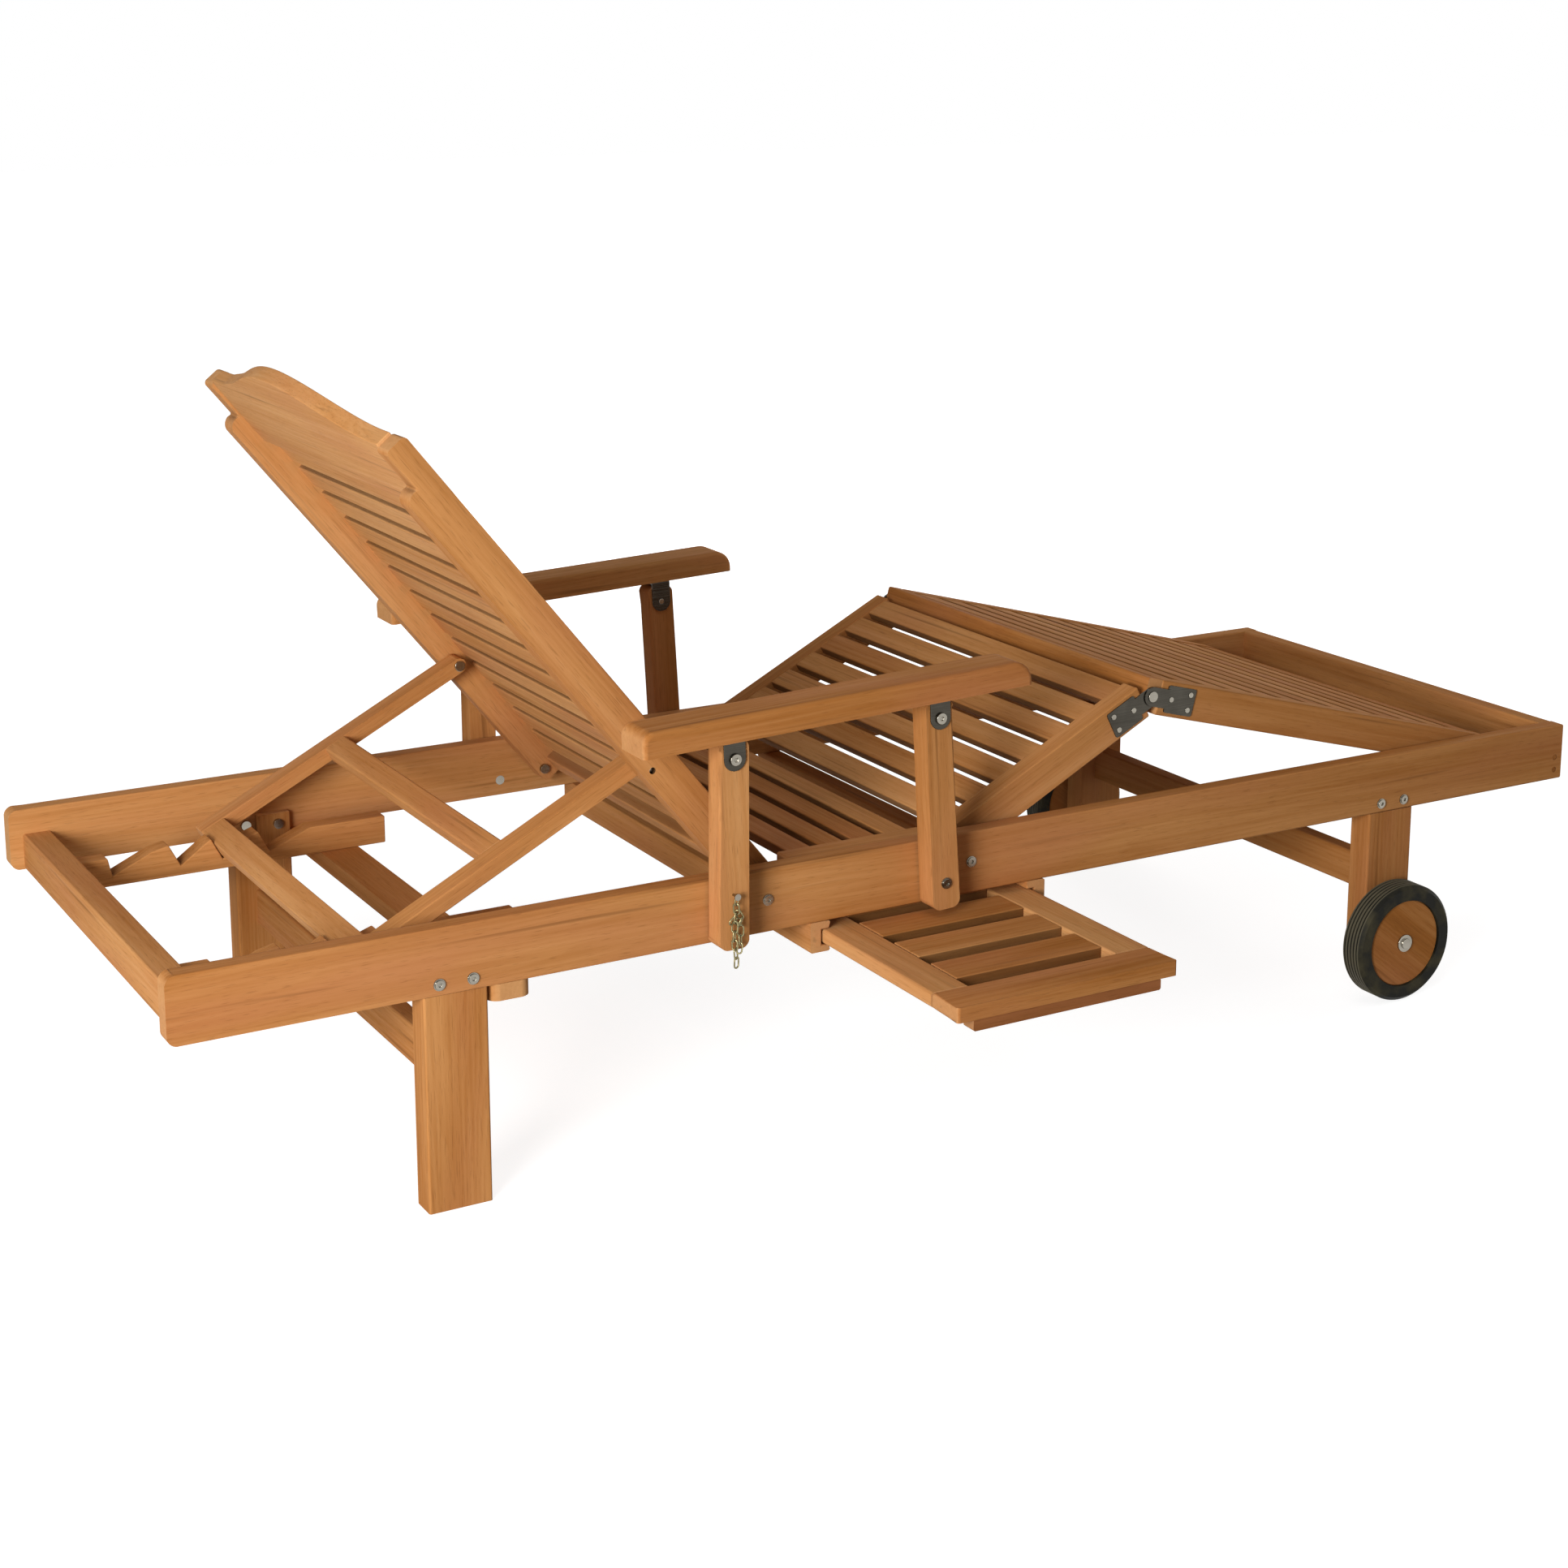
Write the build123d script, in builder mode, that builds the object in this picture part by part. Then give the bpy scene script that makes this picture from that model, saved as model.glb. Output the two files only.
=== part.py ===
"""Wooden sun lounger: notched backrest, raised knee section, side tray, fold-down arms and two wheels.

The pieces stand in the pose of use: backrest in its third notch, knee raised, tray drawn out, arms up.
X runs from head to foot, Z is up, and the near side lies at the lower Y. Sizes are millimetres.
"""
import os
from math import asin, atan2, cos, hypot, pi, radians, sin, tan

from build123d import *

os.makedirs("parts", exist_ok=True)

# Side rails and width
rail_length = 2000.0
rail_height = 78.0
rail_thick = 24.0
rail_bottom = 255.0
frame_width = 688.0
rail_corner = 12.0
edge_round = 3.0

rail_top = rail_bottom + rail_height
half_width = frame_width / 2
rail_inner = half_width - rail_thick
head = -rail_length / 2
foot = rail_length / 2

# Bolts and running fits
bolt_radius = 4.0
bolt_head_radius = 7.0
bolt_head_high = 3.0
socket_radius = 2.6
socket_deep = 1.6
nut_radius = 6.5
nut_high = 5.0
running_fit = 0.05
open_fit = 0.3
face_gap = 0.3

# Side bars of the moving sections
side_play = 6.0
bar_thick = 30.0
bar_depth = 46.0
pivot_to_back = 10.0
bar_end = 18.0
bar_end_round = 14.0
flush_drop = 2.0

bar_outer = rail_inner - side_play
bar_inner = bar_outer - bar_thick
bar_high = bar_depth - pivot_to_back
bar_low = -pivot_to_back
pivot_z = rail_top - flush_drop - bar_high
bar_swing = hypot(bar_end, bar_high)

# Slats
slat_width = 34.5
slat_gap = 11.2
slat_thick = 13.0
slat_drop = 1.0
slat_round = 2.5
slat_pitch = slat_width + slat_gap
slat_top = bar_high - slat_drop

# Crossbars
head_bar_inset = 17.0
head_bar_thick = 35.0
cross_thick = 24.0
head_bar_drop = 32.0
foot_bar_inset = 2.0
plug_radius = 4.0
plug_deep = 8.0
plug_sunk = 0.6
plug_low = 14.0
plug_apart = 18.0

# Legs and stretchers
leg_width = 76.5
leg_depth = 36.5
head_leg_inset = 285.0
foot_leg_inset = 354.0
foot_leg_clear = 42.0
tongue_width = 45.0
tongue_high = 27.0
leg_bolt_first = 19.0
leg_bolt_apart = 40.0
leg_bolt_high = 13.0
stretcher_low = 134.0
stretcher_high = 48.0

# Notched rails and the board below them
notch_rail_mid = 212.5
notch_rail_thick = 27.0
notch_rail_high = 36.0
notch_rail_end = 452.0
tooth_rise = 5.0
notch_floor_high = 13.0
notch_one_lean = 5.0
ramp_long = 50.0
ramp_short = 32.0
ramp_last = 54.0
notch_step_one = 86.0
notch_step_two = 54.0
notch_step_last = 61.0
board_x = 364.0
board_wide = 51.0
board_thick = 20.0
board_round = 14.0

# Backrest
back_pivot_x = 717.0
back_angle = 51.0
back_length = 715.0
ear_clear = 4.0
ear_depth = 28.0
ear_round = 14.0
ear_tip_round = 6.0
heel_round = 8.0
crest_low = 614.5
crest_rise = 48.0
crest_spread = 270.0
crest_thick = 20.0
crest_drop = 4.0
crest_shoulder = 3.5
crest_points = 12
back_slat_count = 13
low_board_thick = 23.0
low_board_end = 16.0

# Prop frame
prop_along = 215.0
prop_out = 2.0
prop_length = 398.0
prop_thick = 20.0
prop_arm_wide = 30.0
prop_side_gap = 2.0
prop_seat_gap = 4.0
prop_wall_gap = 0.8
end_bar_wide = 33.0
end_bar_bevel_long = 14.0
end_bar_bevel_high = 8.0
mid_bar_at = 178.0
mid_bar_wide = 31.0
prop_bolt_grip = 24.0

# Thigh and foot sections
thigh_pivot_x = 1002.0
thigh_angle = 27.0
knee_along = 335.0
knee_gap = 13.0
knee_lap = 9.0
knee_rail_high = 30.0
thigh_slat_count = 7
thigh_slat_margin = 4.0
knee_rail_play = 1.0
foot_end_gap = 29.0
seat_slat_count = 4
seat_gap = 2.5
seat_bar_depth = 42.0
ledger_thick = 20.0
ledger_high = 22.0
ledger_clear = 23.5
ledger_gap = 2.4

# Knee hinges
leaf_thick = 1.8
leaf_gap = 0.1
leaf_near = 24.0
leaf_long = 46.0
leaf_high = 36.0
leaf_corner = 3.0
lug_radius = 12.5
joggle_long = 4.0
rivet_radius = 4.0
rivet_head_radius = 7.0
rivet_head_high = 1.4
screw_radius = 1.6
screw_head_radius = 3.6
screw_head_high = 0.8
screw_deep = 10.0
screw_inset = 8.0

# Tray
tray_x = 793.0
tray_wide = 302.0
tray_thick = 18.0
tray_top_drop = 11.0
tray_reach = 290.0
tray_bar_wide = 50.0
tray_slat_wide = 55.0
tray_slot = 24.0
tray_slat_count = 5
tray_round = 4.0
tray_play = 2.0
tray_lift = 0.5
guide_wide = 27.0
guide_high = 38.0
groove_deep = 11.0
grip_inset = 22.0
grip_wide = 20.0
grip_high = 14.0
grip_back = 2.0

# Wheels
axle_inset = 33.0
wheel_radius = 81.0
wheel_wide = 38.0
wheel_gap = 8.0
disc_radius = 60.0
disc_wide = 32.0
tread_deep = 2.5
tread_wide = 3.0
tread_count = 5
hub_radius = 12.0
hub_high = 5.0
sleeve_radius = 8.0
tyre_shoulder = 5.0

# Arms
post_wide = 38.0
post_thick = 30.0
post_gap = 3.5
post_tail = 21.0
front_post_tail = 33.0
post_crown = 22.0
post_round = 11.0
post_blind = 7.0
arm_rear_x = 667.0
arm_front_x = 944.0
arm_rear_z = 276.0
arm_front_rise = 11.0
arm_lean = 12.0
arm_lift = 207.0
arm_above_pivot = 28.0
arm_thick = 30.0
arm_wide = 60.0
arm_clear = 2.0
arm_rear_over = 127.0
arm_front_over = 115.0
arm_end_round = 14.0
arm_nose_round = 24.0
arm_edge = 6.0
barrel_nut_long = 10.0
bracket_thick = 2.0
bracket_wide = 28.0
bracket_gap = 0.5

# Chain
chain_screw_x = 653.0
chain_screw_z = 322.0
chain_screw_radius = 1.5
chain_head_radius = 4.0
chain_head_high = 1.5
chain_screw_deep = 10.0
chain_gap = 4.0
chain_head_gap = 1.0
link_long = 14.0
link_wide = 8.0
link_wire = 1.8
link_slack = 0.8
link_count = 9

# Shared frame: the whole part is centred on its outline with the tray drawn out
arm_inner = half_width + arm_clear
arm_outer = arm_inner + arm_wide
tray_front = -half_width - tray_reach
mid_y = -(tray_front + arm_outer) / 2
centre = Plane(origin=(0, mid_y, 0), x_dir=(1, 0, 0), z_dir=(0, 1, 0))

# Main points of the linkages
theta = radians(back_angle)
alpha = radians(thigh_angle)
back_x = head + back_pivot_x
thigh_x = head + thigh_pivot_x
notch_floor = rail_bottom + notch_floor_high
notch_top = rail_bottom + notch_rail_high
tooth_top = notch_top + tooth_rise
prop_x = back_x - prop_along * cos(theta) + prop_out * sin(theta)
prop_z = pivot_z + prop_along * sin(theta) + prop_out * cos(theta)
prop_half = prop_thick / 2
prop_seat = notch_floor + prop_seat_gap
prop_reach = hypot(prop_length, prop_half)
phi = asin((prop_z - prop_seat) / prop_reach) - atan2(prop_half, prop_length)
prop_corner_x = prop_x - prop_length * cos(phi) + prop_half * sin(phi)
knee_out = (bar_high + bar_low) / 2
knee_x = thigh_x + knee_along * cos(alpha) - knee_out * sin(alpha)
knee_z = pivot_z + knee_along * sin(alpha) + knee_out * cos(alpha)
half_depth = bar_depth / 2
head_leg_x = head + head_leg_inset
foot_leg_x = foot - foot_leg_inset
axle_x = foot_leg_x + axle_inset
foot_bar_x = foot - foot_bar_inset - cross_thick
foot_room = foot_bar_x - foot_end_gap - thigh_x - knee_along - knee_gap
foot_slat_count = int(foot_room / slat_pitch)
foot_length = knee_gap + foot_slat_count * slat_pitch
ledger_top = rail_bottom + ledger_high
foot_reach = hypot(foot_length, half_depth)
beta = asin((knee_z - ledger_top - ledger_gap) / foot_reach) - atan2(half_depth, foot_length)
post_inner = half_width + post_gap
post_outer = post_inner + post_thick


def across(y):
    """Plane of the frame's side view at y, facing the near side: local axes are X and Z."""
    return Plane(origin=(0, mid_y + y, 0), x_dir=(1, 0, 0), z_dir=(0, -1, 0))


def back_view(y):
    """Plane of the backrest's side view at y: local axes run up the back and out of its front."""
    return Plane(origin=(back_x, mid_y + y, pivot_z), x_dir=(-cos(theta), 0, sin(theta)), z_dir=(0, 1, 0))


def prop_view(y):
    """Plane of the prop frame's side view at y: local axes run down the prop and out of its top."""
    return Plane(origin=(prop_x, mid_y + y, prop_z), x_dir=(-cos(phi), 0, -sin(phi)), z_dir=(0, 1, 0))


def thigh_view(y):
    """Plane of the thigh section's side view at y, facing the near side."""
    return Plane(origin=(thigh_x, mid_y + y, pivot_z), x_dir=(cos(alpha), 0, sin(alpha)), z_dir=(0, -1, 0))


def foot_view(y):
    """Plane of the foot section's side view at y, facing the near side."""
    return Plane(origin=(knee_x, mid_y + y, knee_z), x_dir=(cos(beta), 0, -sin(beta)), z_dir=(0, -1, 0))


def bar(plane, left, right, low, high, length, corner):
    """Add a bar of rounded rectangular section, extruded along the plane's normal."""
    with BuildSketch(plane) as section:
        with Locations(((left + right) / 2, (low + high) / 2)):
            RectangleRounded(right - left, high - low, corner)
    extrude(section.sketch, amount=length)


def disc(plane, x, z, radius, length, mode=Mode.ADD):
    """Add or cut a round pin along the plane's normal."""
    with BuildSketch(plane) as section:
        with Locations((x, z)):
            Circle(radius)
    extrude(section.sketch, amount=length, mode=mode)


def near_bolt(x, z, face, end, nut=nut_high):
    """Add a near-side bolt: domed head on the face at -face, shank, and nut whose outer end is at -end."""
    disc(across(-face), x, z, bolt_head_radius - edge_round / 2, bolt_head_high)
    disc(across(-face), x, z, bolt_head_radius, bolt_head_high / 2)
    with BuildSketch(across(-face - bolt_head_high)) as socket:
        with Locations((x, z)):
            RegularPolygon(socket_radius, 6)
    extrude(socket.sketch, amount=-socket_deep, mode=Mode.SUBTRACT)
    disc(across(-end), x, z, bolt_radius, face - end)
    disc(across(-end), x, z, nut_radius, nut)


# Side rails
with BuildPart() as side_rail_near:
    with BuildSketch(across(-rail_inner)):
        with Locations((0, rail_bottom + rail_height / 2)):
            rail_shape = Rectangle(rail_length, rail_height)
        fillet(rail_shape.vertices().sort_by(Axis.X)[:2], radius=rail_corner)
        leg_bolt_z = rail_bottom + leg_bolt_high
        leg_starts = (head_leg_x, foot_leg_x)
        leg_bolt_xs = [x + leg_bolt_first + k * leg_bolt_apart for x in leg_starts for k in (0, 1)]
        with Locations([(x, leg_bolt_z) for x in leg_bolt_xs]):
            Circle(bolt_radius, mode=Mode.SUBTRACT)
        with Locations((back_x, pivot_z), (thigh_x, pivot_z)):
            Circle(bolt_radius, mode=Mode.SUBTRACT)
        with Locations((head + arm_rear_x, arm_rear_z), (head + arm_front_x, arm_rear_z + arm_front_rise)):
            Circle(bolt_radius, mode=Mode.SUBTRACT)
    extrude(amount=rail_thick)
    with BuildSketch(across(-rail_inner)):
        with Locations((head + arm_rear_x, arm_rear_z), (head + arm_front_x, arm_rear_z + arm_front_rise)):
            Circle(nut_radius)
    extrude(amount=barrel_nut_long, mode=Mode.SUBTRACT)
    plug_x = foot - foot_bar_inset - cross_thick / 2
    plug_zs = [rail_bottom + plug_low + k * plug_apart for k in (0, 1)]
    with BuildSketch(across(-half_width)):
        with Locations([(plug_x, z) for z in plug_zs]):
            Circle(plug_radius)
    extrude(amount=-plug_deep, mode=Mode.SUBTRACT)
side_rail_near.part.label = "side_rail_near"
export_step(side_rail_near.part, "parts/side_rail_near.step")

with BuildPart() as side_rail_far:
    mirror(side_rail_near.part, about=centre)
side_rail_far.part.label = "side_rail_far"
export_step(side_rail_far.part, "parts/side_rail_far.step")

# Wooden plugs over the crossbar screws
with BuildPart() as crossbar_plugs:
    for plug_z in plug_zs:
        disc(across(-half_width + plug_deep), plug_x, plug_z, plug_radius, plug_deep - plug_sunk)
    mirror(about=centre)
crossbar_plugs.part.label = "crossbar_plugs"
export_step(crossbar_plugs.part, "parts/crossbar_plugs.step")

# Head crossbar, set low so that the backrest's ears lie on it
with BuildPart() as head_crossbar:
    head_bar_x = head + head_bar_inset
    bar(across(rail_inner), head_bar_x, head_bar_x + head_bar_thick, rail_bottom, rail_top - head_bar_drop,
        2 * rail_inner, edge_round)
head_crossbar.part.label = "head_crossbar"
export_step(head_crossbar.part, "parts/head_crossbar.step")

# Foot crossbar
with BuildPart() as foot_crossbar:
    bar(across(rail_inner), foot_bar_x, foot_bar_x + cross_thick, rail_bottom, rail_top,
        2 * rail_inner, edge_round)
foot_crossbar.part.label = "foot_crossbar"
export_step(foot_crossbar.part, "parts/foot_crossbar.step")

# Head legs, each with a tongue that goes up inside its rail
with BuildPart() as head_leg_near:
    leg_inner = half_width - leg_depth
    with BuildSketch(across(-leg_inner)):
        with Locations((head_leg_x + leg_width / 2, rail_bottom / 2)):
            Rectangle(leg_width, rail_bottom)
    extrude(amount=leg_depth)
    fillet(head_leg_near.edges().filter_by(Axis.Z), radius=edge_round)
    with BuildSketch(across(-leg_inner)):
        with Locations((head_leg_x + leg_width - tongue_width / 2, rail_bottom + tongue_high / 2)):
            Rectangle(tongue_width, tongue_high)
    extrude(amount=leg_depth - rail_thick)
    disc(across(-leg_inner), leg_bolt_xs[1], leg_bolt_z, bolt_radius, leg_depth, Mode.SUBTRACT)
head_leg_near.part.label = "head_leg_near"
export_step(head_leg_near.part, "parts/head_leg_near.step")

with BuildPart() as head_leg_far:
    mirror(head_leg_near.part, about=centre)
head_leg_far.part.label = "head_leg_far"
export_step(head_leg_far.part, "parts/head_leg_far.step")

# Foot legs, shorter because the wheels carry them
with BuildPart() as foot_leg_near:
    with BuildSketch(across(-leg_inner)):
        with Locations((foot_leg_x + leg_width / 2, (rail_bottom + foot_leg_clear) / 2)):
            Rectangle(leg_width, rail_bottom - foot_leg_clear)
    extrude(amount=leg_depth)
    fillet(foot_leg_near.edges().filter_by(Axis.Z), radius=edge_round)
    with BuildSketch(across(-leg_inner)):
        with Locations((foot_leg_x + leg_width - tongue_width / 2, rail_bottom + tongue_high / 2)):
            Rectangle(tongue_width, tongue_high)
    extrude(amount=leg_depth - rail_thick)
    disc(across(-leg_inner), leg_bolt_xs[3], leg_bolt_z, bolt_radius, leg_depth, Mode.SUBTRACT)
    disc(across(-leg_inner), axle_x, wheel_radius, bolt_radius, leg_depth, Mode.SUBTRACT)
foot_leg_near.part.label = "foot_leg_near"
export_step(foot_leg_near.part, "parts/foot_leg_near.step")

with BuildPart() as foot_leg_far:
    mirror(foot_leg_near.part, about=centre)
foot_leg_far.part.label = "foot_leg_far"
export_step(foot_leg_far.part, "parts/foot_leg_far.step")

# Stretchers between the legs
with BuildPart() as leg_stretchers:
    for stretcher_leg_x in (head_leg_x, foot_leg_x):
        stretcher_x = stretcher_leg_x + (leg_width - cross_thick) / 2
        bar(across(leg_inner), stretcher_x, stretcher_x + cross_thick, stretcher_low,
            stretcher_low + stretcher_high, 2 * leg_inner, edge_round)
leg_stretchers.part.label = "leg_stretchers"
export_step(leg_stretchers.part, "parts/leg_stretchers.step")

# Bolts that hold the legs to the rails
with BuildPart() as leg_bolts:
    for bolt_index, bolt_x in enumerate(leg_bolt_xs):
        nut_face = leg_inner if bolt_index % 2 else rail_inner
        near_bolt(bolt_x, leg_bolt_z, half_width, nut_face - nut_high)
    mirror(about=centre)
leg_bolts.part.label = "leg_bolts"
export_step(leg_bolts.part, "parts/leg_bolts.step")

# Notched rails: leaning walls hold the prop's end bar, ramps let it slide up to the next notch
with BuildPart() as notched_rails:
    wall_lean = tooth_rise + notch_rail_high - notch_floor_high
    wall_run = wall_lean * tan(phi)
    notch_three = prop_corner_x + prop_seat_gap * tan(phi) - prop_wall_gap / cos(phi)
    notch_four = notch_three + notch_step_last
    notch_two = notch_three - notch_step_two
    notch_one = notch_two - notch_step_one
    notch_rail_x = head_bar_x + head_bar_thick
    with BuildSketch(across(notch_rail_mid + notch_rail_thick / 2)):
        with BuildLine():
            Polyline(
                (notch_rail_x, rail_bottom),
                (head + notch_rail_end, rail_bottom),
                (head + notch_rail_end, notch_top),
                (notch_four + ramp_last, notch_top),
                (notch_four, notch_floor),
                (notch_four - wall_run, tooth_top),
                (notch_three + ramp_short, notch_top),
                (notch_three, notch_floor),
                (notch_three - wall_run, tooth_top),
                (notch_two + ramp_short, notch_top),
                (notch_two, notch_floor),
                (notch_two - wall_run, tooth_top),
                (notch_one + ramp_long, notch_top),
                (notch_one, notch_floor),
                (notch_one - notch_one_lean, notch_top),
                (notch_rail_x, notch_top),
                close=True,
            )
        make_face()
    extrude(amount=notch_rail_thick)
    mirror(about=centre)
notched_rails.part.label = "notched_rails"
export_step(notched_rails.part, "parts/notched_rails.step")

# Flat board with rounded ends below the rails
with BuildPart() as cross_board:
    with BuildSketch(Plane(origin=(head + board_x + board_wide / 2, mid_y, rail_bottom - board_thick))):
        RectangleRounded(board_wide, frame_width, board_round)
    extrude(amount=board_thick)
cross_board.part.label = "cross_board"
export_step(cross_board.part, "parts/cross_board.step")

# Fixed seat
seat_rear = back_x + bar_swing + seat_gap
seat_front = thigh_x - bar_swing - seat_gap
seat_inner = rail_inner - bar_thick
with BuildPart() as seat_bars:
    seat_top = pivot_z + bar_high
    bar(across(rail_inner), seat_rear, seat_front, seat_top - seat_bar_depth, seat_top, bar_thick, edge_round)
    mirror(about=centre)
seat_bars.part.label = "seat_bars"
export_step(seat_bars.part, "parts/seat_bars.step")

with BuildPart() as seat_slats:
    seat_span = seat_slat_count * slat_pitch - slat_gap
    seat_first = (seat_rear + seat_front - seat_span) / 2
    for seat_index in range(seat_slat_count):
        slat_x = seat_first + seat_index * slat_pitch
        bar(across(seat_inner), slat_x, slat_x + slat_width, pivot_z + slat_top - slat_thick,
            pivot_z + slat_top, 2 * seat_inner, slat_round)
seat_slats.part.label = "seat_slats"
export_step(seat_slats.part, "parts/seat_slats.step")

# Ledgers on which the foot section's end slides
with BuildPart() as foot_ledgers:
    ledger_x = foot_leg_x + leg_width + ledger_clear
    bar(across(rail_inner), ledger_x, foot_bar_x, rail_bottom, ledger_top, ledger_thick, edge_round)
    mirror(about=centre)
foot_ledgers.part.label = "foot_ledgers"
export_step(foot_ledgers.part, "parts/foot_ledgers.step")

# Pivot bolts of the backrest and the thigh section, with a collar that keeps the side bars off the rails
with BuildPart() as pivot_bolts:
    for pivot_x in (back_x, thigh_x):
        near_bolt(pivot_x, pivot_z, half_width, bar_inner - face_gap - nut_high)
        collar = side_play - face_gap
        disc(across(-rail_inner + collar), pivot_x, pivot_z, bolt_head_radius, collar)
    mirror(about=centre)
pivot_bolts.part.label = "pivot_bolts"
export_step(pivot_bolts.part, "parts/pivot_bolts.step")

# Pivot bolts of the arm posts: the front one goes through its post, the rear one ends inside it
rear_hole = post_thick - post_blind
front_pivot_z = arm_rear_z + arm_front_rise
with BuildPart() as arm_pivot_bolts:
    near_bolt(head + arm_front_x, front_pivot_z, post_outer + face_gap, rail_inner, barrel_nut_long)
    rear_reach = post_inner + rear_hole - face_gap - rail_inner
    disc(across(-rail_inner), head + arm_rear_x, arm_rear_z, bolt_radius, rear_reach)
    disc(across(-rail_inner), head + arm_rear_x, arm_rear_z, nut_radius, barrel_nut_long)
    for arm_x, arm_z in ((head + arm_rear_x, arm_rear_z), (head + arm_front_x, front_pivot_z)):
        disc(across(-half_width), arm_x, arm_z, bolt_head_radius, post_gap - face_gap)
    mirror(about=centre)
arm_pivot_bolts.part.label = "arm_pivot_bolts"
export_step(arm_pivot_bolts.part, "parts/arm_pivot_bolts.step")

# Axle bolts with a sleeve between leg and wheel
wheel_inner = half_width + wheel_gap
wheel_mid = wheel_inner + wheel_wide / 2
disc_outer = wheel_mid + disc_wide / 2
disc_inner = wheel_mid - disc_wide / 2
with BuildPart() as axle_bolts:
    disc(across(-leg_inner + nut_high), axle_x, wheel_radius, bolt_radius, disc_outer - leg_inner + nut_high)
    disc(across(-leg_inner + nut_high), axle_x, wheel_radius, nut_radius, nut_high)
    disc(across(-half_width), axle_x, wheel_radius, sleeve_radius, disc_inner - half_width - face_gap)
    disc(across(-disc_outer), axle_x, wheel_radius, bolt_radius, hub_high)
    disc(across(-disc_outer - face_gap), axle_x, wheel_radius, hub_radius, hub_high / 2)
    disc(across(-disc_outer - face_gap), axle_x, wheel_radius, bolt_head_radius, hub_high)
    mirror(about=centre)
axle_bolts.part.label = "axle_bolts"
export_step(axle_bolts.part, "parts/axle_bolts.step")

# Tray guides: a groove in each carries one edge of the tray
tray_top = rail_bottom - tray_top_drop
tray_low = tray_top - tray_thick
tray_head = head + tray_x
tray_foot = tray_head + tray_wide
guide_low = rail_bottom - guide_high
with BuildPart() as tray_guide_head:
    groove_x = tray_head - tray_play
    guide_x = groove_x + groove_deep
    bar(across(half_width), guide_x - guide_wide, guide_x, guide_low, rail_bottom, frame_width, edge_round)
    with BuildSketch(across(half_width)):
        with Locations((groove_x + groove_deep / 2, (tray_top + tray_low) / 2)):
            Rectangle(groove_deep, tray_thick + 2 * tray_lift)
    extrude(amount=frame_width, mode=Mode.SUBTRACT)
tray_guide_head.part.label = "tray_guide_head"
export_step(tray_guide_head.part, "parts/tray_guide_head.step")

with BuildPart() as tray_guide_foot:
    tray_middle = Plane(origin=((tray_head + tray_foot) / 2, 0, 0), x_dir=(0, 1, 0), z_dir=(1, 0, 0))
    mirror(tray_guide_head.part, about=tray_middle)
tray_guide_foot.part.label = "tray_guide_foot"
export_step(tray_guide_foot.part, "parts/tray_guide_foot.step")

# Backrest side bars: full depth up to a rounded step, then a thinner ear that lies on the head crossbar
ear_start = back_x - head_bar_x - head_bar_thick - ear_clear
ear_back = bar_high - ear_depth
with BuildPart() as back_bars:
    with BuildSketch(back_view(-bar_outer)):
        with BuildLine():
            Polyline(
                (-bar_end, bar_low),
                (ear_start, bar_low),
                (ear_start, ear_back),
                (back_length, ear_back),
                (back_length, bar_high),
                (-bar_end, bar_high),
                close=True,
            )
        make_face()
        fillet(vertices().sort_by_distance((ear_start, bar_low))[0], radius=ear_round)
        fillet(vertices().sort_by_distance((back_length, ear_back))[0], radius=ear_tip_round)
        fillet(vertices().sort_by_distance((back_length, bar_high))[0], radius=ear_tip_round)
        fillet(vertices().sort_by_distance((-bar_end, bar_high))[0], radius=bar_end_round)
        fillet(vertices().sort_by_distance((-bar_end, bar_low))[0], radius=heel_round)
        Circle(bolt_radius + running_fit, mode=Mode.SUBTRACT)
        with Locations((prop_along, prop_out)):
            Circle(bolt_radius, mode=Mode.SUBTRACT)
    extrude(amount=bar_thick)
    mirror(about=centre)
back_bars.part.label = "back_bars"
export_step(back_bars.part, "parts/back_bars.step")

# Crest board with a bell-shaped top
crest_high = back_length + crest_shoulder
crest_front = bar_high - crest_drop
with BuildPart() as crest_board:
    crest_back = crest_front - crest_thick
    crest_origin = (back_x + crest_back * sin(theta), mid_y, pivot_z + crest_back * cos(theta))
    crest_view = Plane(origin=crest_origin, x_dir=(0, 1, 0), z_dir=(sin(theta), 0, cos(theta)))
    crest_ys = [crest_spread * (2 * k / crest_points - 1) for k in range(crest_points + 1)]
    crest_curve = [(y, crest_high + crest_rise * (1 + cos(pi * y / crest_spread)) / 2) for y in crest_ys]
    with BuildSketch(crest_view):
        with BuildLine():
            Spline(crest_curve, tangents=[(1, 0), (1, 0)])
            Polyline(
                (crest_spread, crest_high),
                (bar_inner, crest_high),
                (bar_inner, crest_low),
                (-bar_inner, crest_low),
                (-bar_inner, crest_high),
                (-crest_spread, crest_high),
            )
        make_face()
    extrude(amount=crest_thick)
crest_board.part.label = "crest_board"
export_step(crest_board.part, "parts/crest_board.step")

# Backrest slats below the crest
with BuildPart() as back_slats:
    for slat_index in range(back_slat_count):
        slat_head = crest_low - slat_gap - slat_index * slat_pitch
        bar(back_view(-bar_inner), slat_head - slat_width, slat_head, slat_top - slat_thick, slat_top,
            2 * bar_inner, slat_round)
back_slats.part.label = "back_slats"
export_step(back_slats.part, "parts/back_slats.step")

# Lowest board of the backrest
with BuildPart() as back_low_board:
    low_board_head = crest_low - back_slat_count * slat_pitch - slat_gap
    bar(back_view(-bar_inner), -low_board_end, low_board_head, slat_top - low_board_thick, slat_top,
        2 * bar_inner, edge_round)
back_low_board.part.label = "back_low_board"
export_step(back_low_board.part, "parts/back_low_board.step")

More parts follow.
